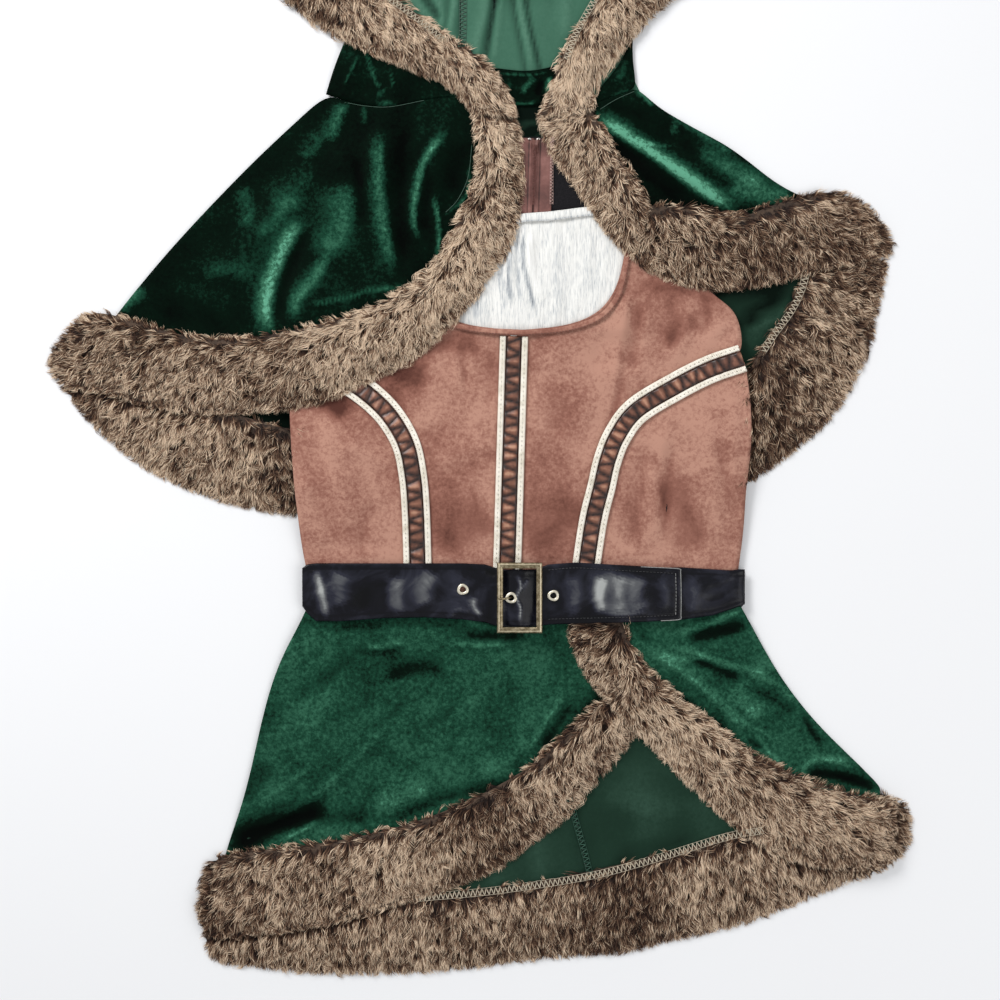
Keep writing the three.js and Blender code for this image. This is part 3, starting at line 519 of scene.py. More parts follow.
# Dress back
# The skirt back is two velvet panels sewn at the centre back; the bodice back is suede cloth, seen from its
# dark reverse side through the neck opening.
SKIRT_BACK = {
    "left": (0.092, [("470 830, 486 860, 500 892", 14, 1.6, 0.12), ("522 812, 540 884", 12, 1.8, 0.15),
                     ("563 800, 572 840, 582 880", 4, 1.8, 0.35)]),
    "right": (0.068, [("625 760, 640 800, 644 862", 18, 2.2, 0.12), ("690 790, 712 845", 16, 2, 0.1),
                      ("575 806, 585 840, 591 880", 4, -1.4, -0.35),
                      ("606 866, 640 850, 700 838", 6, -1, -0.15),
                      ("596 790, 640 806, 690 812", 12, 1.2, 0.14)]),
}
for side, (area, creases) in SKIRT_BACK.items():
    panel = cloth(f"skirt_back_{side}", f"skirt_back_panel_{side}", 2, VELVET_SHEET, 2, creases)
    finish(panel, skirt_lining, [f"skirt_back_{side}"])

SUEDE_SHEET = 0.001
dark_cloth, dark_tree, dark_shader = new_material("bodice reverse side")
paint(dark_tree, dark_shader, math_node(dark_tree, "ADD", noise(dark_tree, 700), 0.5), [
    (0.3, (0.003, 0.003, 0.004)), (0.8, (0.016, 0.014, 0.016))], 0.9, 0.2)
for side in ("left", "right"):
    panel = cloth(f"bodice_back_{side}", f"bodice_back_panel_{side}", 2, SUEDE_SHEET, 2)
    finish(panel, dark_cloth, [f"bodice_back_{side}"])

# Zip of the centre back
# A coil zip, closed to the top: two woven tapes with the coil between them, two top stops and the slider,
# whose pull hangs on the outside. The free edge of the right tape is overlocked to the bodice.
ZIP_LINE = "535 139, 530 300, 523 440, 519 540"
ZIP_WIDE = 17.6
ZIP_OFF = 9.3
TAPE_SHEET = 0.0007


def grid_piece(name, points, run, painted_light):
    """A grid of quads laid on rows of points, facing up. Its UV map holds the run along and across."""
    rows, columns = points.shape[:2]
    bpy.ops.object.select_all(action="DESELECT")
    bpy.ops.mesh.primitive_grid_add(x_subdivisions=columns - 1, y_subdivisions=rows - 1, size=1)
    piece = bpy.context.object
    piece.name = name
    piece.data.vertices.foreach_set("co", points.ravel())
    piece.data.update()
    if piece.data.polygons[0].normal.z < 0:
        piece.data.flip_normals()
    corner = np.empty(len(piece.data.loops), dtype=int)
    piece.data.loops.foreach_get("vertex_index", corner)
    piece.data.uv_layers[0].name = "run"
    piece.data.uv_layers[0].data.foreach_set("uv", run.reshape(-1, 2)[corner].ravel())
    set_painted_light(piece, painted_light.ravel())
    return piece


def ribbon(name, node, line, offset, wide, step, cells, relief, thick):
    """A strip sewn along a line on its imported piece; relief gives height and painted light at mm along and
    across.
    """
    path = route(line, step)
    across = np.linspace(-wide / 2, wide / 2, cells + 1)
    flat = path[:, None] + right_of(path)[:, None] * ((offset + across) / 1000)[None, :, None]
    run = np.concatenate([[0], np.cumsum(np.linalg.norm(np.diff(path, axis=0), axis=1))])
    run = np.stack(np.broadcast_arrays(run[:, None], across[None] / 1000), axis=-1)
    top = surface_at(node, flat.reshape(-1, 2)).reshape(flat.shape[:2])
    height, painted_light = relief(run[..., 0] * 1000, run[..., 1] * 1000)
    piece = grid_piece(name, np.dstack([flat, top + height / 1000]), run, painted_light)
    thicken(piece, thick)
    return piece


def thread(name, paths, radius, resolution=0):
    """Sewing thread, coil or rod: round tubes along the paths, joined in one mesh."""
    curve = bpy.data.curves.new(name, "CURVE")
    curve.dimensions = "3D"
    curve.bevel_depth = radius
    curve.bevel_resolution = resolution
    curve.use_fill_caps = True
    for path in paths:
        spline = curve.splines.new("POLY")
        spline.points.add(len(path) - 1)
        spline.points.foreach_set("co", np.column_stack([path, np.ones(len(path))]).ravel())
    piece = bpy.data.objects.new(name, curve)
    bpy.context.collection.objects.link(piece)
    select_only(piece)
    bpy.ops.object.convert(target="MESH")
    return bpy.context.object


def yarn(name, colour, rough=0.6):
    material, tree, shader = new_material(name)
    dark = tuple(v * 0.62 for v in colour)
    value = math_node(tree, "ADD", noise(tree, 500), 0.5)
    paint(tree, shader, value, [(0.35, dark), (0.65, colour)], rough)
    return material


SIDE_THREAD = 0.45


def overlock(name, line, wide, pitch, radius, material, lift=0.0007):
    """Overlock stitches: a thread to and fro across a seam, and a thin one along each side of it."""
    path = route(line, pitch / 2000)
    side = right_of(path) * wide / 2000
    sway = np.where(np.arange(len(path)) % 2, 1, -1)[:, None]
    turns = path + side * sway
    share = np.linspace(0, 1, 4, endpoint=False)[:, None]
    across = (turns[:-1, None] + (turns[1:] - turns[:-1])[:, None] * share).reshape(-1, 2)
    edges = [path + side, path - side]
    for part, rows, thick in (("", [across], radius), ("_edges", edges, radius * SIDE_THREAD)):
        sewn = [np.column_stack([flat, everything.at(*flat.T) + lift]) for flat in rows]
        finish(thread(name + part, sewn, thick), material)


tape_cloth, tape_tree, tape_shader = new_material("zip tape weave")
tape_run = add_node(tape_tree, "ShaderNodeUVMap", uv_map="run")
tape_wave = add_node(tape_tree, "ShaderNodeTexWave", wave_type="BANDS", bands_direction="DIAGONAL", Scale=420)
tape_tree.links.new(tape_run.outputs["UV"], tape_wave.inputs["Vector"])
tape_shade = math_node(tape_tree, "ADD", math_node(tape_tree, "ADD", noise(tape_tree, 60), 0.5),
                       painted_light_of(tape_tree))
tape_value = math_node(tape_tree, "MULTIPLY_ADD", tape_wave.outputs["Fac"], 0.16, tape_shade)
paint(tape_tree, tape_shader, tape_value, [
    (0.25, (0.040, 0.016, 0.013)), (0.6, (0.175, 0.070, 0.058)), (0.95, (0.34, 0.165, 0.14))], 0.75)


def tape_relief(sign):
    def relief(along, across):
        outward = across * sign
        fold = np.exp(-((outward + 5.4) / 0.9) ** 2)
        seam = np.exp(-((outward + 3.6) / 0.6) ** 2)
        edge = np.exp(-((outward + 8.6) / 0.8) ** 2)
        # Painted light: a painted highlight on the fold, painted shade in the seam groove and at the tape's
        # edge.
        return 0.5 * fold - 0.25 * seam, 0.1 * fold - 0.32 * seam - 0.25 * edge
    return relief


for side, sign in (("left", 1), ("right", -1)):
    tape = ribbon(f"zip_tape_{side}_weave", f"zip_tape_{side}", ZIP_LINE, ZIP_OFF * sign, ZIP_WIDE, 0.004, 26,
                  tape_relief(sign), TAPE_SHEET)
    finish(tape, tape_cloth, [f"zip_tape_{side}"])

COIL_PITCH = 0.0013
coil_path = route("534.8 146, 533.2 206", COIL_PITCH / 6)
coil_turn = np.arange(len(coil_path)) * math.pi / 3
coil_flat = coil_path + right_of(coil_path) * (np.cos(coil_turn) * 0.0017)[:, None]
coil_high = everything.at(*coil_path.T).max() + 0.0006 + 0.0006 * np.sin(coil_turn)
coil = thread("zip_coil", [np.column_stack([coil_flat, coil_high])], 0.00032)
finish(coil, yarn("coil nylon", (0.22, 0.085, 0.07), 0.4))

slider_paint, slider_tree, slider_shader = new_material("painted slider")
paint(slider_tree, slider_shader, math_node(slider_tree, "ADD", noise(slider_tree, 420), 0.5), [
    (0.4, (0.12, 0.045, 0.035)), (0.7, (0.20, 0.085, 0.065))], 0.35)
slider_low, slider_high = (np.array(v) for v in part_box("zip_slider"))
slider_centre = (slider_low + slider_high) / 2
bpy.ops.object.select_all(action="DESELECT")
bpy.ops.mesh.primitive_cube_add(size=1, location=slider_centre)
slider = bpy.context.object
slider.name = "zip_slider_body"
slider.scale = slider_high - slider_low
bpy.ops.object.transform_apply(location=True, rotation=False, scale=True)
bpy.ops.object.mode_set(mode="EDIT")
bpy.ops.mesh.select_all(action="SELECT")
bpy.ops.mesh.subdivide(number_cuts=4)
bpy.ops.object.mode_set(mode="OBJECT")
slider_points = points_of(slider)
slider_along = (slider_high[1] - slider_points[:, 1]) / (slider_high[1] - slider_low[1])
slider_across = slider_points[:, 0] - slider_centre[0]
slider_top = slider_points[:, 2] > slider_high[2] - 0.0001
slider_points[slider_top, 2] -= 0.0009 * np.exp(-(slider_across[slider_top] / 0.0014) ** 2)
slider_points[:, 0] -= slider_across * (0.32 * np.sin(slider_along * math.pi * 0.9) + 0.1 * slider_along)
slider.data.vertices.foreach_set("co", slider_points.ravel())
slider_round = slider.modifiers.new("round", "SUBSURF")
slider_round.levels = slider_round.render_levels = 1
apply_modifiers(slider)
finish(slider, slider_paint, ["zip_slider"])

STOPS = [(529.6, 139.6), (538.4, 139.6)]
stop_high = everything.at(*np.array([spot(*place) for place in STOPS]).T).max() + 0.0006
stops = thread("zip_top_stops", [
    [(*spot(x - 1.3, y + 0.4), stop_high), (*spot(x, y - 0.3), stop_high + 0.0005),
     (*spot(x + 1.3, y + 0.4), stop_high)] for x, y in STOPS], 0.0009, 2)
nickel, nickel_tree, nickel_shader = new_material("nickel")
paint(nickel_tree, nickel_shader, math_node(nickel_tree, "ADD", noise(nickel_tree, 800), 0.5), [
    (0.3, (0.55, 0.5, 0.46)), (0.7, (0.85, 0.8, 0.75))], 0.3)
nickel_shader.inputs["Metallic"].default_value = 1
finish(stops, nickel)
overlock("zip_overlock", "552 139, 551.7 170, 551.4 205", 3.2, 3.2, 0.00035,
         yarn("pink thread", (0.62, 0.42, 0.37)))

# Fur trims
# Long-pile fur cloth cut in strips, folded round the raw edge and sewn on. The strip is a thin backing; its
# pile is a second mesh of tapering hairs, gathered in tufts, dark at the root and pale at the tip. The dark
# roots and the dark backing are partly the fur's own colour and partly painted shade between the tufts.
HAIRS_PER_MM2 = 0.6
TUFTS_PER_MM2 = 0.07
OVERHANG = 0.0045
RIM_REACH = 0.005
RIM_SPLAY = 1.6
BACKING_SHARE = 0.4
BACKING_LOW = 0.001
COVERED = 0.0014
HAIR_CORNERS = 5
HAIR_LOOPS = 7
HAIR_WIDE = (0.00048, 0.00088)
HAIR_MIDDLE = 0.55
ROOT_DEEP = (0.003, 0.0055)
MIDDLE_DROP = (-0.002, 0.0002)
TIP_DROP = (-0.0008, 0.0012)
TUFT_PULL = (0.35, 0.75)
TUFT_LIFT = (-0.0016, 0.0018)
TUFT_REACH = (0.65, 1.1)
OWN_REACH = (0.8, 1.12)
OWN_OVERHANG = (0.2, 1.3)
SHORTEST = 0.12
TUFT_BEND = 0.13
OWN_TURN = 0.14
TUFT_SHADE = 0.4
OWN_SHADE = 0.5
DARKEST = 0.07


def fur_cloth():
    material, tree, shader = new_material("fur backing")
    # Dark brown, partly the backing's own colour and partly painted shade in the gaps between tufts.
    paint(tree, shader, math_node(tree, "ADD", noise(tree, 160, 4, 0.7), 0.5), [
        (0.35, (0.020, 0.011, 0.007)), (0.7, (0.10, 0.062, 0.040))], 0.95)
    return material


def fur_hair():
    material, tree, shader = new_material("fur hair")
    hair = add_node(tree, "ShaderNodeUVMap", uv_map="hair")
    parts = tree.nodes.new("ShaderNodeSeparateXYZ")
    tree.links.new(hair.outputs["UV"], parts.inputs["Vector"])
    own = math_node(tree, "MULTIPLY_ADD", math_node(tree, "SUBTRACT", parts.outputs["Y"], 0.5), 1.25,
                    parts.outputs["X"])
    value = math_node(tree, "MULTIPLY_ADD", noise(tree, 62, 2, 0.5), 0.6, own)
    value = math_node(tree, "MULTIPLY_ADD", noise(tree, 16, 2, 0.5), 0.5, value)
    # Near-black at the root, partly the fur's own colour and partly painted shade between the hairs.
    paint(tree, shader, value, [
        (0.12, (0.010, 0.0045, 0.003)), (0.46, (0.045, 0.021, 0.013)), (0.7, (0.150, 0.080, 0.048)),
        (0.88, (0.40, 0.265, 0.170)), (1.0, (0.74, 0.57, 0.41))], 0.6, 0.15)
    return material


fur_backing = fur_cloth()
fur_pile = fur_hair()


def hair_mesh(name, root, middle, tip, across, wide, shade):
    """Joined hairs, each a flat tapering blade of five points: two at the root, two halfway, one tip."""
    count = len(root)
    half = across * wide[:, None] / 2
    points = np.stack([root - half, root + half, middle - half * 0.85, middle + half * 0.85, tip], axis=1)
    first = np.arange(count)[:, None] * HAIR_CORNERS
    loops = (first + np.array([0, 1, 3, 2, 2, 3, 4])).ravel()
    mesh = bpy.data.meshes.new(name)
    mesh.vertices.add(count * HAIR_CORNERS)
    mesh.vertices.foreach_set("co", points.ravel())
    mesh.loops.add(count * HAIR_LOOPS)
    mesh.loops.foreach_set("vertex_index", loops)
    mesh.polygons.add(count * 2)
    starts = (np.arange(count)[:, None] * HAIR_LOOPS + np.array([0, 4])).ravel()
    mesh.polygons.foreach_set("loop_start", starts)
    mesh.polygons.foreach_set("loop_total", np.tile([4, 3], count))
    mesh.update(calc_edges=True)
    along = np.tile([0.0, 0.0, 0.62, 0.62, 0.62, 0.62, 1.0], count)
    hair = mesh.uv_layers.new(name="hair")
    hair.data.foreach_set("uv", np.stack([along, np.repeat(shade, HAIR_LOOPS)], axis=1).ravel())
    pile = bpy.data.objects.new(name, mesh)
    bpy.context.collection.objects.link(pile)
    return pile


def rim_of(corners):
    """Points all along the edge of a surface that is given by its facets, as seen from above."""
    uses = {}
    for facet in corners[:, :, :2]:
        for k in range(3):
            side = (facet[k], facet[(k + 1) % 3])
            uses.setdefault(frozenset(tuple(end.round(5)) for end in side), []).append(side)
    share = np.linspace(0, 1, 6)[:, None]
    return np.vstack([found[0][0] + (found[0][1] - found[0][0]) * share
                      for found in uses.values() if len(found) == 1])


def tree_at(points):
    tree = kdtree.KDTree(len(points))
    for k, point in enumerate(points):
        tree.insert(point, k)
    tree.balance()
    return tree


def backing_height(node, points, top):
    """Height of a strip's backing, sunk under the tips of its pile."""
    below = dropped_on(tree_of(facets(node, False)), points, upwards=True)
    return below + BACKING_LOW + (top - below - BACKING_LOW).clip(0) * BACKING_SHARE


def pile_on(node, name, lay, long, spread, seed, splay):
    """The pile of a fur strip. lay: rows of x, y, the hairs' way in x and in y, and how pale they are."""
    rng = np.random.default_rng(seed)
    corners = facets(node, True)
    flat_corners = corners.copy()
    flat_corners[:, :, 2] = 0
    footprint = tree_of(flat_corners)
    sides = np.cross(corners[:, 1] - corners[:, 0], corners[:, 2] - corners[:, 0])
    areas = np.linalg.norm(sides, axis=1) / 2
    normals = sides / (2 * areas[:, None])
    count = int(areas.sum() * 1e6 * HAIRS_PER_MM2)
    chosen = rng.choice(len(areas), count, p=areas / areas.sum())
    u, v = rng.random(count), rng.random(count)
    flip = u + v > 1
    u[flip], v[flip] = 1 - u[flip], 1 - v[flip]
    a, b, c = (corners[chosen, k] for k in range(3))
    root = a + (b - a) * u[:, None] + (c - a) * v[:, None]
    normal = normals[chosen]
    bare = everything.at(*root[:, :2].T) < Relief([node]).at(*root[:, :2].T) + COVERED
    root, normal = root[bare], normal[bare]
    count = len(root)
    places = np.array([spot(row[0], row[1]) for row in lay])
    ways = np.array([(row[2], -row[3]) for row in lay], dtype=float)
    ways /= np.linalg.norm(ways, axis=1)[:, None]
    tufts = rng.choice(count, max(1, int(count * TUFTS_PER_MM2 / HAIRS_PER_MM2)), replace=False)
    tree = tree_at(root[tufts])
    tuft_of = np.array([tree.find(p)[1] for p in root])
    tuft_root = root[tufts][tuft_of]
    near = 1 / (np.linalg.norm(tuft_root[:, None, :2] - places[None], axis=2) ** 3 + 1e-6)
    near /= near.sum(axis=1)[:, None]
    tone = near @ np.array([row[4] for row in lay])
    rim_tree = tree_at([(x, y, 0) for x, y in rim_of(corners)])
    outward = np.array([rim_tree.find((x, y, 0))[0][:2] for x, y in root[tufts, :2]]) - root[tufts, :2]
    inside = np.linalg.norm(outward, axis=1)[:, None] + 1e-6
    outward *= (1 - inside / RIM_REACH).clip(0) / inside
    flow = near @ ways + normal[:, :2] * splay + outward[tuft_of] * RIM_SPLAY
    flow /= np.linalg.norm(flow, axis=1)[:, None] + 1e-9
    turn = rng.normal(0, spread, len(tufts))[tuft_of] + rng.normal(0, OWN_TURN, count)
    way = np.stack([flow[:, 0] * np.cos(turn) - flow[:, 1] * np.sin(turn),
                    flow[:, 0] * np.sin(turn) + flow[:, 1] * np.cos(turn)], axis=1)
    reach = long / 1000 * rng.uniform(*TUFT_REACH, len(tufts))[tuft_of] * rng.uniform(*OWN_REACH, count)
    ends = root[:, :2] + way * reach[:, None]
    beyond = np.array([footprint.find_nearest(Vector((x, y, 0)))[3] for x, y in ends])
    beyond -= OVERHANG * rng.uniform(*OWN_OVERHANG, count)
    reach *= np.clip(1 - beyond.clip(0) / reach, SHORTEST, 1)
    own_tip = root[:, :2] + way * reach[:, None]
    gathered = tuft_root[:, :2] + way * reach[:, None]
    pull = rng.uniform(*TUFT_PULL, len(tufts))[tuft_of][:, None]
    tip_xy = own_tip + (gathered - own_tip) * pull
    bend = rng.normal(0, TUFT_BEND, len(tufts))[tuft_of][:, None]
    sideways = np.column_stack([-way[:, 1], way[:, 0]])
    middle_xy = root[:, :2] + (tip_xy - root[:, :2]) * HAIR_MIDDLE + sideways * bend * reach[:, None]
    lift = rng.uniform(*TUFT_LIFT, len(tufts))[tuft_of]
    skin = backing_height(node, root, root[:, 2])
    root_z = np.maximum(root[:, 2] - rng.uniform(*ROOT_DEEP, count), skin - 0.0003)
    middle_z = np.maximum(everything.at(*middle_xy.T), root_z) + lift * 0.7
    middle_z = np.maximum(middle_z + rng.uniform(*MIDDLE_DROP, count), root_z + 0.0005)
    tip_z = np.maximum(everything.at(*tip_xy.T) + 0.0005, root_z * 0.55) + lift
    tip_z = np.maximum(tip_z + rng.uniform(*TIP_DROP, count), 0.0006)
    cross = np.column_stack([sideways, rng.uniform(-0.6, 0.6, count)])
    cross /= np.linalg.norm(cross, axis=1)[:, None]
    shade = rng.random(len(tufts))[tuft_of] * TUFT_SHADE + rng.random(count) * OWN_SHADE + DARKEST + tone
    wide = rng.uniform(*HAIR_WIDE, count)
    return hair_mesh(name, np.column_stack([root[:, :2], root_z]), np.column_stack([middle_xy, middle_z]),
                     np.column_stack([tip_xy, tip_z]), cross, wide, shade)


def fur_strip(node, lay, long, spread, seed, splay=1.3):
    """A fur strip: its backing and its pile."""
    backing = upper_side(node, f"{node}_backing", 1)
    points = points_of(backing)
    above = dropped_on(tree_of(facets(node, True)), points)
    points[:, 2] = backing_height(node, points, above)
    backing.data.vertices.foreach_set("co", points.ravel())
    thicken(backing, 0.0008)
    finish(backing, fur_backing, [node])
    pile = pile_on(node, f"{node}_pile", lay, long, spread, seed, splay)
    finish(pile, fur_pile)


fur_strip("fur_cape_back_left", [
    (80, 395, -0.8, 0.8, -0.08), (150, 440, -0.6, 1, 0.1), (230, 465, -0.3, 1, 0.08),
    (300, 480, -0.2, 1, -0.1)],
    19, 0.4, 11, 0.9)
fur_strip("fur_cape_back_right", [
    (740, 430, -0.1, 1, -0.1), (790, 400, 0.5, 1, -0.1), (830, 360, 0.6, 0.9, 0.05),
    (850, 300, 0.9, 0.5, 0),
    (850, 262, 1, 0.3, -0.15)], 19, 0.4, 12, 0.9)
fur_strip("fur_skirt_back", [
    (230, 930, -0.2, 1, 0.06), (400, 935, 0, 1, 0.04), (520, 915, 0.05, 1, 0.04),
    (615, 905, 0.05, 1, -0.16),
    (700, 890, 0.1, 1, 0.05), (820, 850, 0.25, 1, 0.05), (885, 825, 0.8, 0.8, 0.07)], 19, 0.26, 13, 0.6)
beige_thread = yarn("beige thread", (0.66, 0.57, 0.43))
green_thread = yarn("green thread", (0.035, 0.115, 0.075))
pale_green_thread = yarn("pale green thread", (0.065, 0.135, 0.095))
overlock("hem_overlock", "418 897, 500 889, 589 875, 654 858, 719 838, 762 828", 6.5, 4.6, 0.0005,
         beige_thread, 0.0016)
overlock("cape_back_overlock", "762 352, 774 334, 790 312, 800 292, 806 272", 6.5, 4.6, 0.0005,
         beige_thread, 0.0016)
overlock("skirt_seam_overlock", "569 797, 576 822, 584 850, 590 874", 6, 4.6, 0.00045, green_thread)
overlock("hood_seam_overlock", "462 48, 463 20, 463 -60, 462 -150, 461 -246", 7, 4.2, 0.00045,
         pale_green_thread)

# Skirt flaps
# Two velvet flaps cut in a tulip curve; the right one wraps over the left. Each has a fur strip on its edge.
# Rows paint highlights on ridges and shade in troughs; the dark rows just under the belt and the one from 536
# 764 to 606 660, beside the fur, are painted shadow.
left_flap = cloth("skirt_front_left", "skirt_flap_left", 3, VELVET_SHEET, 6, [
    ("242 837, 312 798, 368 747, 396 711", 3.5, 2.6, 0.15), ("256 809, 307 770, 323 761", 3, 1.8, 0.12),
    ("226 852, 262 832, 300 818, 336 810", 13, -2.5, -0.42), ("240 800, 274 764", 13, -0.4, -0.14),
    ("278 840, 300 832, 322 818", 2, 1.4, 0.3),
    ("322 824, 344 818, 372 820", 8, -1.6, -0.16), ("384 824, 440 800, 500 786, 530 768", 7, -1.8, -0.2),
    ("386 682, 404 672, 430 668, 448 672", 9, -1.6, -0.22), ("412 690, 392 712, 370 732", 4, -0.8, -0.1),
    ("361 647, 384 647, 406 642", 2.5, 1.4, 0.24), ("352 652, 380 653, 410 650", 6, -1.2, -0.14),
    ("448 643, 480 646, 512 643", 2.5, 1.6, 0.22), ("456 634, 490 637, 530 637", 6, -1.4, -0.24),
    ("292 704, 330 676, 360 652", 9, -1.6, -0.12), ("523 758, 545 725, 567 688", 3, 2, 0.16),
    ("538 752, 556 728, 574 700", 6, -1.6, -0.18), ("506 770, 530 734", 5, 1.4, 0.1),
    ("536 764, 576 730, 604 696, 606 660", 10, -1.2, -0.24), ("584 640, 596 668, 604 690", 9, -0.6, -0.2),
    ("476 774, 516 760", 12, 0.8, 0.1), ("420 726, 440 720, 462 700", 5, -0.8, -0.12),
    ("372 808, 400 800, 436 784", 16, 1, 0.2), ("300 735, 336 690", 16, 1, 0.06),
    ("286 655, 324 636", 14, 0.8, 0.08),
    ("420 760, 470 700, 520 660", 18, 1.6, 0.04), ("310 634, 340 628, 420 624, 490 630", 5, -0.4, -0.14)])
finish(left_flap, skirt_velvet, ["skirt_front_left"])
fur_strip("fur_skirt_front_left", [
    (620, 710, 0.2, 1, 0.05), (570, 770, 0.4, 1, 0.08), (500, 820, 0.2, 1, -0.1), (400, 865, -0.1, 1, 0.13),
    (300, 890, -0.15, 1, 0.05), (225, 895, -0.4, 1, -0.05)], 19, 0.42, 14)
right_flap = cloth("skirt_front_right", "skirt_flap_right", 3, VELVET_SHEET, 5, [
    ("642 646, 676 668, 707 692, 736 722, 746 738", 6, 3.4, 0.2),
    ("660 684, 696 712, 740 745", 6, -2, -0.24),
    ("676 634, 712 624, 744 608", 3.5, 2.2, 0.22), ("684 640, 716 634, 750 624", 8, -2, -0.34),
    ("636 636, 686 650, 734 668, 774 672", 4, 2.8, 0.2), ("684 658, 712 668, 744 682", 5, -2.4, -0.24),
    ("660 654, 686 660, 710 657", 3, 1.8, 0.2), ("744 670, 776 686, 800 706", 5, 1.8, 0.12),
    ("742 684, 772 700, 800 716", 5, -1.6, -0.14), ("732 717, 758 730, 782 742", 2, 1.2, 0.16),
    ("754 734, 766 750, 780 764", 3, 1.4, 0.2), ("747 738, 762 750", 4, -1.4, -0.2),
    ("799 776, 812 761, 832 760, 852 766", 4, 2, 0.24),
    ("800 774, 836 776, 868 786, 880 792", 5.5, -2, -0.34),
    ("800 712, 810 730, 822 748", 4, -1.4, -0.22), ("724 688, 744 704, 764 718", 13, 0.8, 0.2),
    ("632 630, 650 640, 690 648", 5, -1, -0.2), ("640 668, 660 690, 672 706", 6, -1, -0.16)])
finish(right_flap, skirt_velvet, ["skirt_front_right"])
fur_strip("fur_skirt_front_right", [
    (598, 630, -0.7, 0.6, -0.04), (610, 670, -0.2, 1, 0.02), (655, 730, 0.5, 1, 0.16),
    (720, 790, 0.7, 1, 0.12),
    (800, 830, 0.7, 1, 0.08), (875, 835, 0.8, 0.7, 0.1)], 20, 0.34, 15)

# Gauze inset of the neck
# Crinkled cotton gauze, gathered at the top on a thin cased elastic, with a few soft folds.
GAUZE_SHEET = 0.0006


def gauze_cloth():
    material, tree, shader = new_material("crinkled gauze")
    lines = noise(tree, 260, 3, 0.6, 0.4, (3.4, 0.35, 1))
    value = math_node(tree, "MULTIPLY_ADD", lines, 1.1, math_node(tree, "ADD", painted_light_of(tree), 0.62))
    # The dark, bluish end of the ramp is painted shade in the gauze's folds.
    paint(tree, shader, value, [
        (0.1, (0.20, 0.22, 0.25)), (0.38, (0.52, 0.54, 0.55)), (0.64, (0.82, 0.81, 0.775)),
        (1.0, (0.94, 0.93, 0.90))], 0.9, 0.2)
    bumped(tree, shader, lines, 0.5, 0.0005)
    return material


gauze = gauze_cloth()
gauze_rng = np.random.default_rng(31)
CRINKLES = [(gauze_rng.uniform(0.9, 2.4), gauze_rng.uniform(0, 6.3), gauze_rng.uniform(-0.02, 0.02),
             gauze_rng.uniform(0.06, 0.16)) for _ in range(7)]


def gauze_crinkle(x, y):
    fan = (x - 530) * (1 + (y - 215) * 0.0009) + 1.6 * np.sin(y * 0.045 + x * 0.02)
    return sum(deep * np.sin(fan * fine + y * slant + phase) for fine, phase, slant, deep in CRINKLES) / 1000


# Rows with a negative shine darken the gauze along its folds: painted shadow.
inset = cloth("neck_inset", "neck_inset_gauze", 3, GAUZE_SHEET, 1, [
    ("526 222, 522 248, 524 271, 530 296, 537 322", 2.6, 2.2, -0.42),
    ("533 224, 529 250, 531 272, 541 306", 5, 2, 0.2), ("518 226, 516 252, 518 286, 522 312", 3, -1, -0.24),
    ("512 238, 508 262, 508 286, 512 310", 2.6, 1.6, -0.42), ("502 246, 499 276, 504 314", 3, -1, -0.24),
    ("482 258, 474 290, 476 326", 9, 1, -0.2), ("462 268, 452 300, 450 326", 10, 0.8, -0.3),
    ("560 232, 556 280, 560 320", 6, 0.9, -0.1),
    ("590 230, 588 270, 590 306", 6, 0.9, -0.08)], gauze_crinkle)
finish(inset, gauze, ["neck_inset"])


def casing_relief(along, across):
    tuck = np.sin(along * 2.1 + 0.8 * np.sin(along * 0.37)) * 0.22 + np.sin(along * 1.13 + 1) * 0.18
    seam = np.exp(-((across - 3) / 0.5) ** 2)
    height = 0.5 * (1 - (across / 4) ** 2) + tuck * (1 - seam) - 0.3 * seam
    # Painted highlights where the tucks rise and painted shade along the stitched seam.
    return height, 0.3 * tuck - 0.25 * seam


casing = ribbon("inset_casing_gauze", "inset_casing", "450 241, 512 217, 550 213, 590 208, 634 207", 4.5, 8,
                0.0011, 9, casing_relief, GAUZE_SHEET)
finish(casing, gauze, ["inset_casing"])

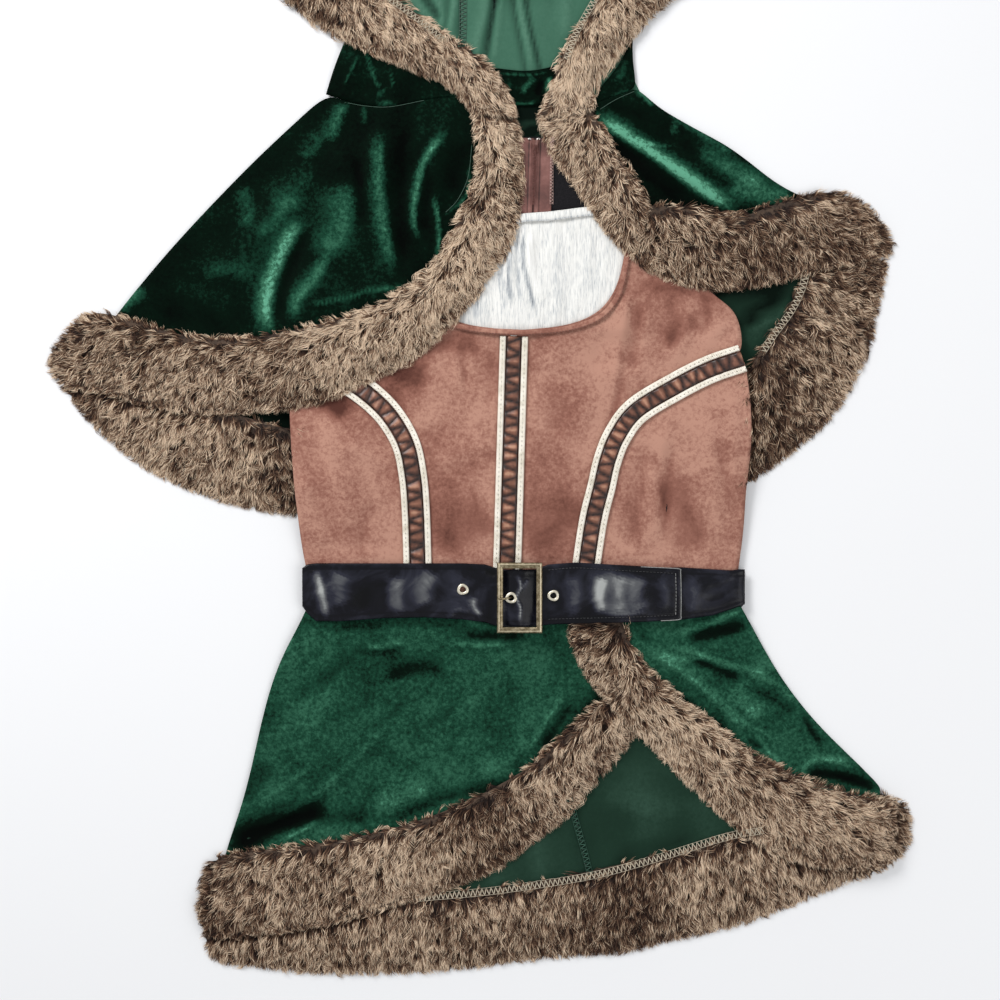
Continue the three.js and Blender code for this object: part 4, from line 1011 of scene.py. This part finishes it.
# Bodice fronts and the binding of the neck
# Soft suede cloth in four panels with curved princess seams. The scoop is bound with a strip of the same
# cloth, stitched down along its lower edge.
SUEDE_SIDE = [
    (0.2, (0.085, 0.030, 0.022)), (0.45, (0.205, 0.083, 0.060)), (0.62, (0.285, 0.125, 0.092)),
    (0.9, (0.47, 0.25, 0.185))]
suede = napped("suede cloth", SUEDE_SIDE, 0.74, 13, 1.1, 0.8, 0.92, 0.12, 0.2, (0.9, 0.62, 0.5), 0.7)
# Rows paint highlights and shade on the suede; the wide dark rows along its top, under the capelet's fur, are
# painted shadow.
BODICE = {
    "centre_left": (0.047, [
        ("462 394, 459 365, 456 340", 5, 2.2, 0.14), ("467 390, 463 362, 461 344", 4, -1.5, -0.2),
        ("430 470, 466 452, 500 440", 14, 1.4, 0.06), ("432 548, 465 532, 498 520", 24, 0.8, -0.3),
        ("400 345, 440 372", 12, 1, 0.05), ("430 420, 436 500", 12, -0.8, -0.07),
        ("384 330, 440 342", 12, -0.6, -0.14), ("486 348, 490 376, 486 412", 6, -1, -0.16),
        ("384 384, 397 410, 402 444", 8, -0.8, -0.24), ("372 352, 400 372, 432 380", 22, -0.6, -0.42),
        ("410 350, 446 346, 486 350", 13, -0.4, -0.26)]),
    "centre_right": (0.047, [
        ("616 386, 622 340, 628 290", 7, 3, 0.14), ("632 378, 637 330, 640 296", 7, -2.4, -0.2),
        ("672 372, 684 335, 690 300", 11, 2, 0.08), ("530 345, 566 380, 590 430", 14, 1.4, 0.06),
        ("700 352, 728 322", 9, 1.6, 0.08), ("520 548, 556 530, 590 500", 24, 0.8, -0.34),
        ("552 440, 570 400", 12, -1, -0.08),
        ("600 330, 596 372", 8, -1, -0.08), ("715 345, 735 330", 6, -1.2, -0.1),
        ("664 350, 682 332, 700 318", 12, -0.4, -0.26),
        ("612 322, 620 352, 618 392, 602 436", 4, -1.4, -0.2), ("664 294, 673 316, 668 350", 6, -1.2, -0.2),
        ("700 290, 706 314, 702 338", 6, -1, -0.2), ("632 284, 690 292, 736 306", 12, -0.4, -0.2)]),
    "side_left": (0.0245, [
        ("318 410, 335 475, 352 540", 12, 2, 0.09), ("340 440, 395 470", 10, 1.2, 0.06),
        ("330 552, 312 510, 300 470", 10, 1.6, 0.08), ("372 500, 360 555", 9, -1, -0.08),
        ("296 398, 326 402, 350 420", 17, -0.8, -0.42)]),
    "side_right": (0.030, [
        ("656 552, 658 480, 668 420", 9, 2.6, 0.14), ("664 548, 667 490, 676 440", 6, -1.8, -0.18),
        ("632 556, 640 500, 646 440", 7, -1.6, -0.12), ("716 556, 712 480, 704 400", 12, 1.8, 0.08),
        ("732 520, 734 450, 732 385", 8, 1.4, 0.06), ("700 556, 690 520, 664 470", 24, -0.8, -0.3),
        ("650 440, 658 480, 668 524", 4, -1.4, -0.18), ("714 440, 726 480, 734 522", 8, -1, -0.14)]),
}

def binding_relief(along, across):
    stitch = np.exp(-((across - 2.1) / 0.45) ** 2)
    edge = np.clip(np.abs(across) - 2.5, 0, 1)
    # Painted shade in the stitched groove and at the strip's sides.
    return 0.55 * (1 - (across / 3) ** 4) - 0.35 * stitch, -0.12 * stitch - 0.16 * edge


SCOOP = ("372 162, 384 205, 404 255, 420 290, 436 314, 455 323, 483 328, 514 330, 529 330, 567 326, 596 316, "
         "612 300, 620 278, 627 235, 640 170")
binding = ribbon("neck_binding_strip", "neck_binding", SCOOP, 3.2, 6, 0.0025, 10, binding_relief, 0.0008)
finish(binding, suede, ["neck_binding"])
for side, (area, creases) in BODICE.items():
    panel = cloth(f"bodice_{side}", f"bodice_{side}_panel", 3, SUEDE_SHEET, 6, creases)
    finish(panel, suede, [f"bodice_{side}"])


STITCH_ARCH = np.array([-1, 0.4, -1])


def dashes(name, node, line, offset, long, pitch, radius, lift, material):
    """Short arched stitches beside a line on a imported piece, left out where another piece covers it."""
    path = route(line, 0.0005)
    flat = path + right_of(path) * offset / 1000
    own = surface_at(node, flat)
    shown = everything.at(*flat.T) < own + 0.0012
    size, gap = round(long / 0.5), round(pitch / 0.5)
    paths = []
    for k in range(0, len(flat) - size, gap):
        if shown[k:k + size + 1].all():
            high = own[k:k + size + 1].mean() + lift + STITCH_ARCH * radius
            paths.append(np.column_stack([flat[[k, k + size // 2, k + size]], high]))
    finish(thread(name, paths, radius), material)


dashes("binding_stitches", "neck_binding", SCOOP, 5.4, 2.2, 3.2, 0.00028, 0.0004,
       yarn("brown thread", (0.16, 0.07, 0.05)))

# Trims on the princess seams and the centre front
# Each is two flat woven cream braids, stitched down the middle, with a gathered strip of brown satin
# between them whose tucks slant to and fro.
TRIM_HALF = 11
BRAID_WIDE = 6
LACING_WIDE = 14.4
TRIMS = {
    "centre": ("514 337, 510 470, 507 571", 8.6),
    "left": ("292 356, 322 366, 355 385, 379 404, 395 423, 407 446, 413 474, 416 508, 418 570", 8.4),
    "right": ("741 359, 709 370, 675 387, 636 411, 617 436, 607 461, 601 487, 593 520, 585 572", 8.8),
}


def braid_cloth():
    material, tree, shader = new_material("cream braid")
    run = add_node(tree, "ShaderNodeUVMap", uv_map="run")
    plait = add_node(tree, "ShaderNodeTexWave", wave_type="BANDS", bands_direction="DIAGONAL", Scale=300,
                     Distortion=1.2)
    tree.links.new(run.outputs["UV"], plait.inputs["Vector"])
    cloud = math_node(tree, "ADD", noise(tree, 120), 0.5)
    paint(tree, shader, math_node(tree, "MULTIPLY_ADD", plait.outputs["Fac"], 0.35, cloud), [
        (0.35, (0.50, 0.44, 0.33)), (0.6, (0.84, 0.77, 0.65)), (0.85, (0.97, 0.91, 0.81))], 0.85)
    bumped(tree, shader, plait.outputs["Fac"], 0.6, 0.0004)
    return material


def satin_cloth():
    material, tree, shader = new_material("gathered satin")
    # The ramp runs from painted shade in the tucks to a painted highlight on the pillows.
    paint(tree, shader, math_node(tree, "MULTIPLY_ADD", noise(tree, 220, 3, 0.6), 0.5, painted_light_of(tree)), [
        (0.05, (0.012, 0.005, 0.004)), (0.4, (0.075, 0.028, 0.017)), (0.75, (0.23, 0.095, 0.058)),
        (1.0, (0.46, 0.24, 0.155))], 0.42, 0.45)
    return material


braid_weave = braid_cloth()
satin = satin_cloth()
seam_thread = yarn("grey thread", (0.36, 0.33, 0.27))


def braid_relief(along, across):
    edge = 1 - (across / (BRAID_WIDE / 2)) ** 4
    loop = 0.12 * np.sin(along * 2.4) * (np.abs(across) > 1.6)
    groove = np.exp(-(across / 0.5) ** 2)
    return 0.75 * edge + loop - 0.22 * groove, np.zeros_like(along)


def tucks(pitch, seed):
    """Relief of gathered satin: pillows between tucks that slant in turn to the left and to the right."""
    rng = np.random.default_rng(seed)
    count = 80
    shift = np.arange(count) + rng.uniform(-0.16, 0.16, count) - 0.5
    slant = rng.uniform(0.18, 0.36, count) * np.where(np.arange(count) % 2, 1, -1)
    tall = rng.uniform(0.7, 1.2, count)

    def relief(along, across):
        lean = across / (LACING_WIDE / 2)
        lines = np.sort((shift[:, None, None] + slant[:, None, None] * lean) * pitch, axis=0)
        after = (lines < along).sum(axis=0).clip(1, count - 1)
        start = np.take_along_axis(lines, after[None] - 1, axis=0)[0]
        end = np.take_along_axis(lines, after[None], axis=0)[0]
        share = ((along - start) / (end - start + 1e-6)).clip(0, 1)
        pillow = np.sin(math.pi * share) ** 0.6 * tall[after] * np.minimum(1, (end - start) / pitch)
        rim = 1 - np.abs(lean) ** 6
        # Painted highlights on the pillows and painted shade over the later part of each.
        return (1.5 * pillow - 0.4) * rim, (pillow * 0.85 - 0.16 * (share > 0.55)) * rim

    return relief


for number, (side, (line, pitch)) in enumerate(TRIMS.items()):
    long = len(route(line, 0.001)) / 1000
    for place, offset in (("outer", TRIM_HALF), ("inner", -TRIM_HALF)):
        name = f"braid_{side}_{place}"
        braid = ribbon(f"{name}_weave", name, line, offset, BRAID_WIDE, 0.0013, 8, braid_relief, 0.0008)
        finish(braid, braid_weave, [name])
        dashes(f"{name}_stitches", name, line, offset, 1, 4.5, 0.00035, 0.0009, seam_thread)
    lacing = ribbon(f"lacing_{side}_satin", f"lacing_{side}", line, 0, LACING_WIDE, 0.0014, 12,
                    tucks(pitch, 40 + number), 0.0006)
    finish(lacing, satin, [f"lacing_{side}"])

# Belt
# Black glossy leather cloth, one strap round the waist. It runs through the buckle, under the frame and over
# the bar, to its square tip. Its edges are turned in and stitched 5 mm inside.
STRAP_SHEET = 0.0018
HEM_INSIDE = 5.2
EYELETS = [(463, 589), (511, 597), (553, 595)]
HOLE = 3.6
STRAP_CELL = 1.6
STRAP_ROUND = 64
EDGE_THREAD = 0.0004


def leather():
    material, tree, shader = new_material("belt leather")
    cloud = noise(tree, 26, 4, 0.65, 0.8)
    # Painted light from the creases lightens the black: painted reflections along the belt's folds.
    value = math_node(tree, "MULTIPLY_ADD", cloud, 0.9, math_node(tree, "ADD", painted_light_of(tree), 0.22))
    paint(tree, shader, value, [
        (0.0, (0.0012, 0.0012, 0.002)), (0.22, (0.003, 0.003, 0.006)), (0.45, (0.020, 0.021, 0.033)),
        (0.7, (0.095, 0.098, 0.105)), (1.0, (0.36, 0.37, 0.36))])
    tree.links.new(math_node(tree, "MULTIPLY_ADD", cloud, 0.3, 0.3), shader.inputs["Roughness"])
    bumped(tree, shader, noise(tree, 1300, 2, 0.6), 0.25, 0.0003)
    shader.inputs["Specular IOR Level"].default_value = 0.16
    shader.inputs["Coat Weight"].default_value = 0.12
    shader.inputs["Coat Roughness"].default_value = 0.2
    return material


black_leather = leather()


def strap(node, name, rows, creases, hem_end, holes=(), cell=STRAP_CELL):
    """A stretch of the belt from rows of x, top and bottom, in mm."""
    marks = np.array([[float(v) for v in row.split()] for row in rows.split(",")])
    xs = np.linspace(marks[0, 0], marks[-1, 0], round((marks[-1, 0] - marks[0, 0]) / cell) + 1)
    top, bottom = (np.interp(xs, marks[:, 0], marks[:, k])[:, None] for k in (1, 2))
    gy = top + (bottom - top) * np.linspace(0, 1, round(STRAP_ROUND / cell) + 1)
    gx = np.broadcast_to(xs[:, None], gy.shape)
    flat = np.dstack([(gx - TABLE_CENTRE[0]) / 1000, (TABLE_CENTRE[1] - gy) / 1000, np.zeros(gx.shape)])
    surface = surface_at(node, flat[..., :2].reshape(-1, 2)).reshape(gx.shape)
    height, painted_light = (v.reshape(gx.shape) for v in crease_relief(flat.reshape(-1, 3), creases))
    from_edge = np.minimum(gy - top, bottom - gy)
    if hem_end:
        from_edge = np.minimum(from_edge, xs[-1] - gx)
    groove = np.exp(-((from_edge - HEM_INSIDE) / 0.8) ** 2)
    roll = np.clip(1 - from_edge / 1.6, 0, 1) ** 2
    flat[..., 2] = surface + height - (0.5 * groove + 0.7 * roll) / 1000 - 0.0001
    # Painted shade in the stitched groove and a painted highlight along the rolled edges.
    piece = grid_piece(name, flat, np.dstack([gx, gy]) / 1000, painted_light - 0.12 * groove + 0.1 * roll)
    if holes:
        select_only(piece)
        bpy.ops.object.mode_set(mode="EDIT")
        bpy.ops.mesh.select_mode(type="FACE")
        mesh = bmesh.from_edit_mesh(piece.data)
        for face in mesh.faces:
            middle = face.calc_center_median()
            face.select_set(any(math.dist(middle[:2], spot(*hole)) < HOLE / 1000 for hole in holes))
        bmesh.update_edit_mesh(piece.data)
        bpy.ops.mesh.delete(type="FACE")
        bpy.ops.object.mode_set(mode="OBJECT")
    thicken(piece, STRAP_SHEET)
    finish(piece, black_leather, [node])
    return piece


belt_back = strap("belt_back", "belt_back_strap", """303 570 604, 308 568 612, 316 568 618, 380 567 620,
    450 567 620, 520 567 620, 600 567 620, 670 567 619, 731 568 614, 739 569 610, 744 571 604""",
                  [], False, cell=4)
belt_end = strap("belt_end", "belt_end_strap", """524.5 573 617, 560 571 618, 600 570 618, 640 568 619,
    680 567 619.5, 712 569 615, 730 570 609, 739 569 606, 744 569 604""", [
    ("690 616, 694 590, 690 572", 10, 0.8, 0.22), ("700 586, 720 580, 736 572", 6, 1, 0.02),
    ("704 600, 726 596", 5, -0.8, -0.1)], False, cell=2.4)
belt_front = strap("belt_front", "belt_front_strap", """303 568 606, 308 564 613, 317 563 621, 340 563 621,
    380 563 618, 425 563 617, 463 563 619, 485 564 622, 494 567 625, 503 568.8 626.3, 510 568.8 626.3,
    518 568.8 626.3, 526 568.8 626.3, 536 568.6 626, 548 564 624, 575 562 623, 610 564 622, 645 566 621,
    680 568 619""", [
    ("328 620, 323 592, 317 566", 5, 1.6, 0.6), ("345 606, 340 588, 346 572", 14, 1, 0.36),
    ("362 612, 366 586", 8, -1, -0.16), ("402 616, 398 592, 400 574", 9, 1.2, 0.38),
    ("386 612, 384 578", 6, -0.8, -0.12), ("430 606, 424 590, 436 570", 13, 1, 0.52),
    ("447 618, 458 610, 470 612", 3, 1.2, 0.25), ("482 616, 474 606, 476 596", 4, 1.6, 0.55),
    ("464 612, 460 592, 468 574", 14, 0.4, 0.2),
    ("478 620, 470 600", 3, -1, -0.2), ("484 572, 496 576", 3, -1.2, -0.2),
    ("519 624, 521 608, 517 597, 521 586, 518 572", 2, 1.6, 0.75), ("528 578, 520 590", 2, 1, 0.4),
    ("506 612, 502 590", 3, 0.8, 0.25), ("572 618, 576 596, 572 572", 9, 0.9, 0.3),
    ("603 614, 599 594, 604 574", 8, 1, 0.6), ("618 616, 616 592, 622 572", 14, 0.9, 0.5),
    ("642 612, 636 592, 642 574", 13, 1, 0.44), ("592 614, 590 574", 5, -0.9, -0.15),
    ("626 604, 628 582", 5, -0.6, -0.12), ("600 613, 624 614, 650 611", 2.5, 0.8, 0.28),
    ("662 612, 664 592, 660 576", 7, 0.7, 0.26)], True, EYELETS)
# A pale grey for the stitches near the tip and for a line along the tip's edge.
pale_edge = yarn("pale strap edge", (0.34, 0.34, 0.33), 0.4)
grey_thread = yarn("dark grey thread", (0.045, 0.045, 0.05), 0.4)
dashes("belt_end_stitches", "belt_front", "674.6 614, 675 592, 674.6 573", 0, 2.4, 3.6, 0.0003, 0.0001,
       pale_edge)
for name, line in (("belt_top_stitches", "548 569.6, 575 567.4, 610 569.4, 645 571.4, 674 573"),
                   ("belt_low_stitches", "548 618.6, 575 617.6, 610 616.8, 645 615.8, 674 614.2")):
    dashes(name, "belt_front", line, 0, 2.2, 3.4, 0.00028, 0.0001, grey_thread)
tip_line = route("640 566.4, 662 567.4, 678.6 568.6, 679.6 572, 680 592, 679.8 614, 678.6 618.6, 660 620",
                 0.002)
tip_path = np.column_stack([tip_line, surface_at("belt_front", tip_line) - EDGE_THREAD])
pale_tip_edge = thread("belt_tip_edge", [tip_path], EDGE_THREAD, 1)
finish(pale_tip_edge, pale_edge)

# Buckle and eyelets
# A cast frame in antique brass, bevelled to a ridge and mitred at its corners, with a round bar under the
# strap that carries the prong. The eyelets are rolled rings in pale brass.
BUCKLE = {"left": 497, "right": 542, "top": 562, "bottom": 632}
BUCKLE_HIGH = 0.003
BAR_X = 520
RIM = 6
SIDE_WALL = 1.3
RIDGES = [(0.8, 1.0), (1.2, 0.6), (0.8, -0.5), (0.5, 0.2), (1.8, -0.6), (0.9, -0.7)]


def antique_brass(name, dark, middle, light, rough):
    material, tree, shader = new_material(name)
    patina = noise(tree, 300, 5, 0.7, 0.6)
    value = math_node(tree, "MULTIPLY_ADD", patina, 1.3, math_node(tree, "ADD", painted_light_of(tree), 0.45))
    paint(tree, shader, value, [(0.1, dark), (0.45, middle), (0.95, light)])
    tree.links.new(math_node(tree, "MULTIPLY_ADD", patina, 0.4, rough), shader.inputs["Roughness"])
    bumped(tree, shader, patina, 0.3, 0.0003)
    shader.inputs["Metallic"].default_value = 0.85
    return material


old_brass = antique_brass("antique brass", (0.028, 0.021, 0.012), (0.21, 0.165, 0.095),
                          (0.62, 0.53, 0.37), 0.36)
pale_brass = antique_brass("pale brass", (0.45, 0.38, 0.26), (0.78, 0.72, 0.58), (0.95, 0.92, 0.82), 0.4)


def pick_faces(piece, test):
    mesh = bmesh.from_edit_mesh(piece.data)
    mesh.normal_update()
    for face in mesh.faces:
        face.select_set(test(face))
    bmesh.update_edit_mesh(piece.data)


frame_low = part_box("buckle_frame")[1][2] - BUCKLE_HIGH
bar_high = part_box("buckle_frame")[0][2] + 0.001
bpy.ops.object.select_all(action="DESELECT")
middle = spot((BUCKLE["left"] + BUCKLE["right"]) / 2, (BUCKLE["top"] + BUCKLE["bottom"]) / 2)
bpy.ops.mesh.primitive_plane_add(size=1, location=(*middle, frame_low))
buckle = bpy.context.object
buckle.name = "buckle_frame_cast"
buckle.scale = ((BUCKLE["right"] - BUCKLE["left"]) / 1000, (BUCKLE["bottom"] - BUCKLE["top"]) / 1000, 1)
bpy.ops.object.transform_apply(location=True, rotation=False, scale=True)
bpy.ops.object.mode_set(mode="EDIT")
bpy.ops.mesh.select_mode(type="FACE")
bpy.ops.mesh.select_all(action="SELECT")
bpy.ops.mesh.extrude_region_move(TRANSFORM_OT_translate={"value": (0, 0, SIDE_WALL / 1000)})
for inward, rise in RIDGES:
    bpy.ops.mesh.inset(thickness=inward / 1000, depth=rise / 1000, use_even_offset=True)
bpy.ops.mesh.delete(type="FACE")
bpy.ops.mesh.select_all(action="SELECT")
bpy.ops.mesh.normals_make_consistent(inside=False)
pick_faces(buckle, lambda face: face.calc_center_median().z < frame_low + 0.0001)
bpy.ops.mesh.inset(thickness=RIM / 1000, depth=0, use_even_offset=True)
bpy.ops.mesh.delete(type="FACE")
bpy.ops.mesh.select_mode(type="EDGE")
bpy.ops.mesh.select_non_manifold(use_wire=False, use_multi_face=False, use_non_contiguous=False,
                                 use_verts=False)
bpy.ops.mesh.bridge_edge_loops()
bpy.ops.mesh.select_all(action="SELECT")
bpy.ops.mesh.normals_make_consistent(inside=False)
bpy.ops.object.mode_set(mode="OBJECT")
# Painted light by height on the frame: darker low down, partly patina and partly painted shade, and a painted
# highlight on the top ridge.
frame_height_mm = (points_of(buckle)[:, 2] - frame_low) * 1000
set_painted_light(buckle, np.interp(frame_height_mm, [0, 1.4, 2.2, 2.5, 2.9], [-0.4, 0.05, 0.1, -0.15, 0.6]))
soften = buckle.modifiers.new("soften", "BEVEL")
soften.width = 0.00035
soften.segments = 2
soften.limit_method = "ANGLE"
soften.angle_limit = math.radians(15)
apply_modifiers(buckle)
leg_top, leg_bottom = BUCKLE["top"] + RIM / 2, BUCKLE["bottom"] - RIM / 2
bar = thread("buckle_bar", [[
    (*spot(BAR_X, leg_top), frame_low + 0.001), (*spot(BAR_X, leg_top), bar_high + 0.0004),
    (*spot(BAR_X, leg_top + 1), bar_high), (*spot(BAR_X, 597), bar_high),
    (*spot(BAR_X, leg_bottom - 1), bar_high),
    (*spot(BAR_X, leg_bottom), bar_high + 0.0004),
    (*spot(BAR_X, leg_bottom), frame_low + 0.001)]], 0.001, 3)
set_painted_light(bar, np.zeros(len(bar.data.vertices)))
buckle.select_set(True)
bpy.context.view_layer.objects.active = buckle
bpy.ops.object.join()
finish(buckle, old_brass, ["buckle_frame"])
bpy.ops.object.shade_smooth_by_angle(angle=math.radians(28))

prong = bpy.data.objects.new("buckle_prong_pin", frame["nodes"]["buckle_prong"].data.copy())
bpy.context.collection.objects.link(prong)
select_only(prong)
bpy.ops.object.mode_set(mode="EDIT")
bpy.ops.mesh.select_all(action="SELECT")
bpy.ops.mesh.remove_doubles(threshold=MERGE)
bpy.ops.object.mode_set(mode="OBJECT")
prong_round = prong.modifiers.new("round", "SUBSURF")
prong_round.levels = prong_round.render_levels = 1
apply_modifiers(prong)
set_painted_light(prong, np.full(len(prong.data.vertices), 0.1))
finish(prong, old_brass, ["buckle_prong"])

for number, place in enumerate(EYELETS, 1):
    centre = np.array([*spot(*place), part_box(f"eyelet_{number}")[0][2] + 0.0004])
    bpy.ops.object.select_all(action="DESELECT")
    bpy.ops.mesh.primitive_torus_add(location=centre, major_segments=32, minor_segments=10,
                                     major_radius=0.0043, minor_radius=0.00145)
    eyelet = bpy.context.object
    eyelet.name = f"eyelet_{number}_ring"
    eyelet.scale = (1, 1, 0.6)
    bpy.ops.object.transform_apply(location=True, rotation=False, scale=True)
    rolled = points_of(eyelet)
    turn = np.arctan2(rolled[:, 1] - centre[1], rolled[:, 0] - centre[0])
    swell = 1 + 0.05 * np.cos(3 * turn + number) + 0.03 * np.cos(2 * turn)
    rolled[:, :2] = centre[:2] + (rolled[:, :2] - centre[:2]) * swell[:, None]
    eyelet.data.vertices.foreach_set("co", rolled.ravel())
    set_painted_light(eyelet, np.zeros(len(rolled)))
    finish(eyelet, pale_brass, [f"eyelet_{number}"])

# Capelet fronts and hood velvet
# The capelet fronts fold over from the shoulders and lie on the dress, pile side up. The hood's front edge
# falls over the neck seam and is gathered there in small tucks.
left_front = cloth("cape_front_left", "capelet_front_left", 3, VELVET_SHEET, 6, [
    ("276 341, 268 316, 272 284, 284 254, 305 214", 9, 3.4, 0.56),
    ("284 330, 285 296, 296 262, 312 226", 7, -2.2, -0.12),
    ("300 322, 298 304, 316 280, 332 254", 8, 2.8, 0.34),
    ("318 262, 340 236, 348 204, 340 176", 17, 1.6, 0.28),
    ("398 282, 390 248, 382 200, 380 122", 9, 3.2, 0.36), ("330 146, 338 122, 348 100", 9, 1.8, 0.32),
    ("366 127, 365 106", 4, 1.2, 0.3), ("420 246, 415 219, 418 190, 426 162, 450 128", 4.5, 2.6, 0.5),
    ("438 266, 440 239, 438 214, 433 190", 3, 1.8, 0.42),
    ("440 218, 452 212, 466 196, 473 160", 1.6, 0.8, 0.4),
    ("244 232, 250 209, 242 184", 9, 1.2, 0.22), ("256 240, 274 226, 290 206, 304 212", 7, 1.2, 0.2),
    ("298 160, 316 150, 320 130", 10, 1, 0.16), ("270 212, 300 190, 310 160", 16, 0.8, 0.12),
    ("304 306, 344 300, 371 292, 412 288", 2.4, 1.4, 0.26), ("118 314, 128 302, 146 286", 11, 0.8, 0.32),
    ("150 262, 190 226, 220 190", 12, 0.6, 0.04), ("200 276, 232 270, 258 282", 9, 0.8, 0.12),
    ("404 282, 402 200, 404 116", 10, -1.6, -0.1), ("428 240, 427 206, 434 172", 6, -1.4, -0.1),
    ("450 200, 458 170, 466 140", 12, -0.8, -0.12), ("150 312, 200 322, 248 332", 20, -0.6, -0.1),
    ("318 330, 360 318, 402 300", 8, -0.8, -0.1), ("356 150, 362 230", 5, -1.4, -0.1)])
finish(left_front, cape_velvet, ["cape_front_left"])
right_front = cloth("cape_front_right", "capelet_front_right", 3, VELVET_SHEET, 5, [
    ("586 111, 612 129, 649 154, 682 178, 711 198, 742 217", 8, 4.6, 0.78),
    ("600 136, 644 172, 692 212", 14, -2.6, -0.14), ("604 104, 652 122", 7, -0.5, -0.1),
    ("634 90, 644 98, 652 108", 3, 1.2, 0.36), ("668 134, 676 132, 672 122", 3, 1.2, 0.26),
    ("636 140, 656 147, 676 146", 2, 0.8, 0.28), ("722 190, 760 196, 800 200", 12, 0.8, 0.32),
    ("690 150, 730 172, 770 190", 10, 1, 0.26), ("660 112, 700 134, 740 160", 6, 0.8, 0.2),
    ("676 140, 700 158, 720 170", 6, -0.6, -0.1)])
finish(right_front, cape_velvet, ["cape_front_right"])
HOOD_FOLDS = {
    "left": ((0.155, 0.07), 0.007, [
        ("343 92, 351 74, 359 56", 1.6, 1.6, 0.3), ("384 94, 375 78, 366 50", 1.9, 1.8, 0.34),
        ("376 93, 381 96, 386 88", 1.5, 0.8, 0.2), ("395 96, 393 84, 392 70", 1.4, 1.4, 0.26),
        ("350 96, 362 90, 368 78", 3, 1, 0.16), ("430 66, 462 90", 12, -0.8, -0.1),
        ("356 98, 372 78", 4, -1.2, -0.1), ("398 106, 386 104, 376 106", 4, 0.8, 0.26)]),
    "right": ((0.045, 0.085), 0.0012, [
        ("618 84, 628 60", 5, 1.2, 0.14), ("612 100, 630 92", 3, 0.8, 0.22)]),
}
for side, (flat, area, creases) in HOOD_FOLDS.items():
    collar = cloth(f"hood_front_{side}", f"hood_fold_{side}", 3, VELVET_SHEET, 4, creases)
    finish(collar, cape_velvet, [f"hood_front_{side}"])
SEAM_THREADS = {
    "neck_seam_left": "345 103, 366 106.6, 390 107.4, 424 101",
    "front_seam_left": "472 146, 468 178, 458 200, 446 213",
    "neck_seam_right": "600 110, 616 100, 634 92",
    "flap_seam_right": "812 786, 840 790, 868 796",
}
for name, line in SEAM_THREADS.items():
    flat = route(line, 0.003)
    sewn = thread(name, [np.column_stack([flat, everything.at(*flat.T) + 0.0003])], 0.00022, 1)
    finish(sewn, pale_green_thread)
fur_strip("fur_cape_front_left", [
    (492, 115, 0.2, 1, 0.25), (500, 170, 0.3, 1, 0.12), (480, 240, 0.2, 1, 0.2), (430, 315, -0.2, 1, 0.24),
    (360, 355, -0.4, 1, 0.16), (280, 375, -0.4, 1, 0), (190, 375, -0.5, 1, 0.02),
    (110, 355, -0.8, 0.8, 0.02),
    (65, 345, -1, 0.4, -0.02)], 19, 0.45, 16)
fur_strip("fur_cape_front_right_edge", [
    (565, 112, -0.5, 0.8, 0.18), (580, 145, -0.1, 1, 0.08), (610, 200, 0.3, 1, 0.12),
    (635, 245, 0.2, 1, 0.05)],
    19, 0.45, 17)
fur_strip("fur_cape_front_right_hem", [
    (650, 240, 0.2, 1, 0.08), (720, 255, 0.4, 1, -0.06), (790, 245, 0.5, 1, -0.05),
    (850, 230, 0.7, 0.8, -0.08),
    (880, 240, 0.9, 0.6, 0.07)], 19, 0.42, 18)
fur_strip("fur_hood_left", [
    (490, 105, 0.4, 1, 0.18), (450, 75, 0.5, 1, 0.1), (390, 35, 0.4, 1, 0.2), (310, -10, 0, 1, 0),
    (245, -75, -0.9, 0.5, 0.05), (238, -150, -1, -0.3, 0.08), (300, -215, -0.6, -1, 0),
    (400, -255, -0.3, -1, 0.08),
    (480, -262, 0, -1, 0.04)], 20, 0.34, 19, 0.4)
fur_strip("fur_hood_right", [
    (562, 105, 0, 1, 0.2), (585, 70, 0.1, 1, 0.28), (605, 20, 0.3, 1, 0.14), (655, -25, 0.8, 0.6, 0.1),
    (678, -90, 1, 0, 0.05), (672, -160, 1, -0.4, 0.08), (610, -225, 0.6, -1, 0),
    (530, -255, 0.2, -1, 0.06)],
    20, 0.34, 20, 0.4)
overlock("hood_overlock_left", "340 -36, 366 -17, 392 2, 422 24, 444 42", 6, 4.4, 0.0005, beige_thread,
         0.0022)
overlock("hood_overlock_right", "612 -28, 594 2, 576 34, 566 62", 6, 4.4, 0.0005, beige_thread, 0.0022)
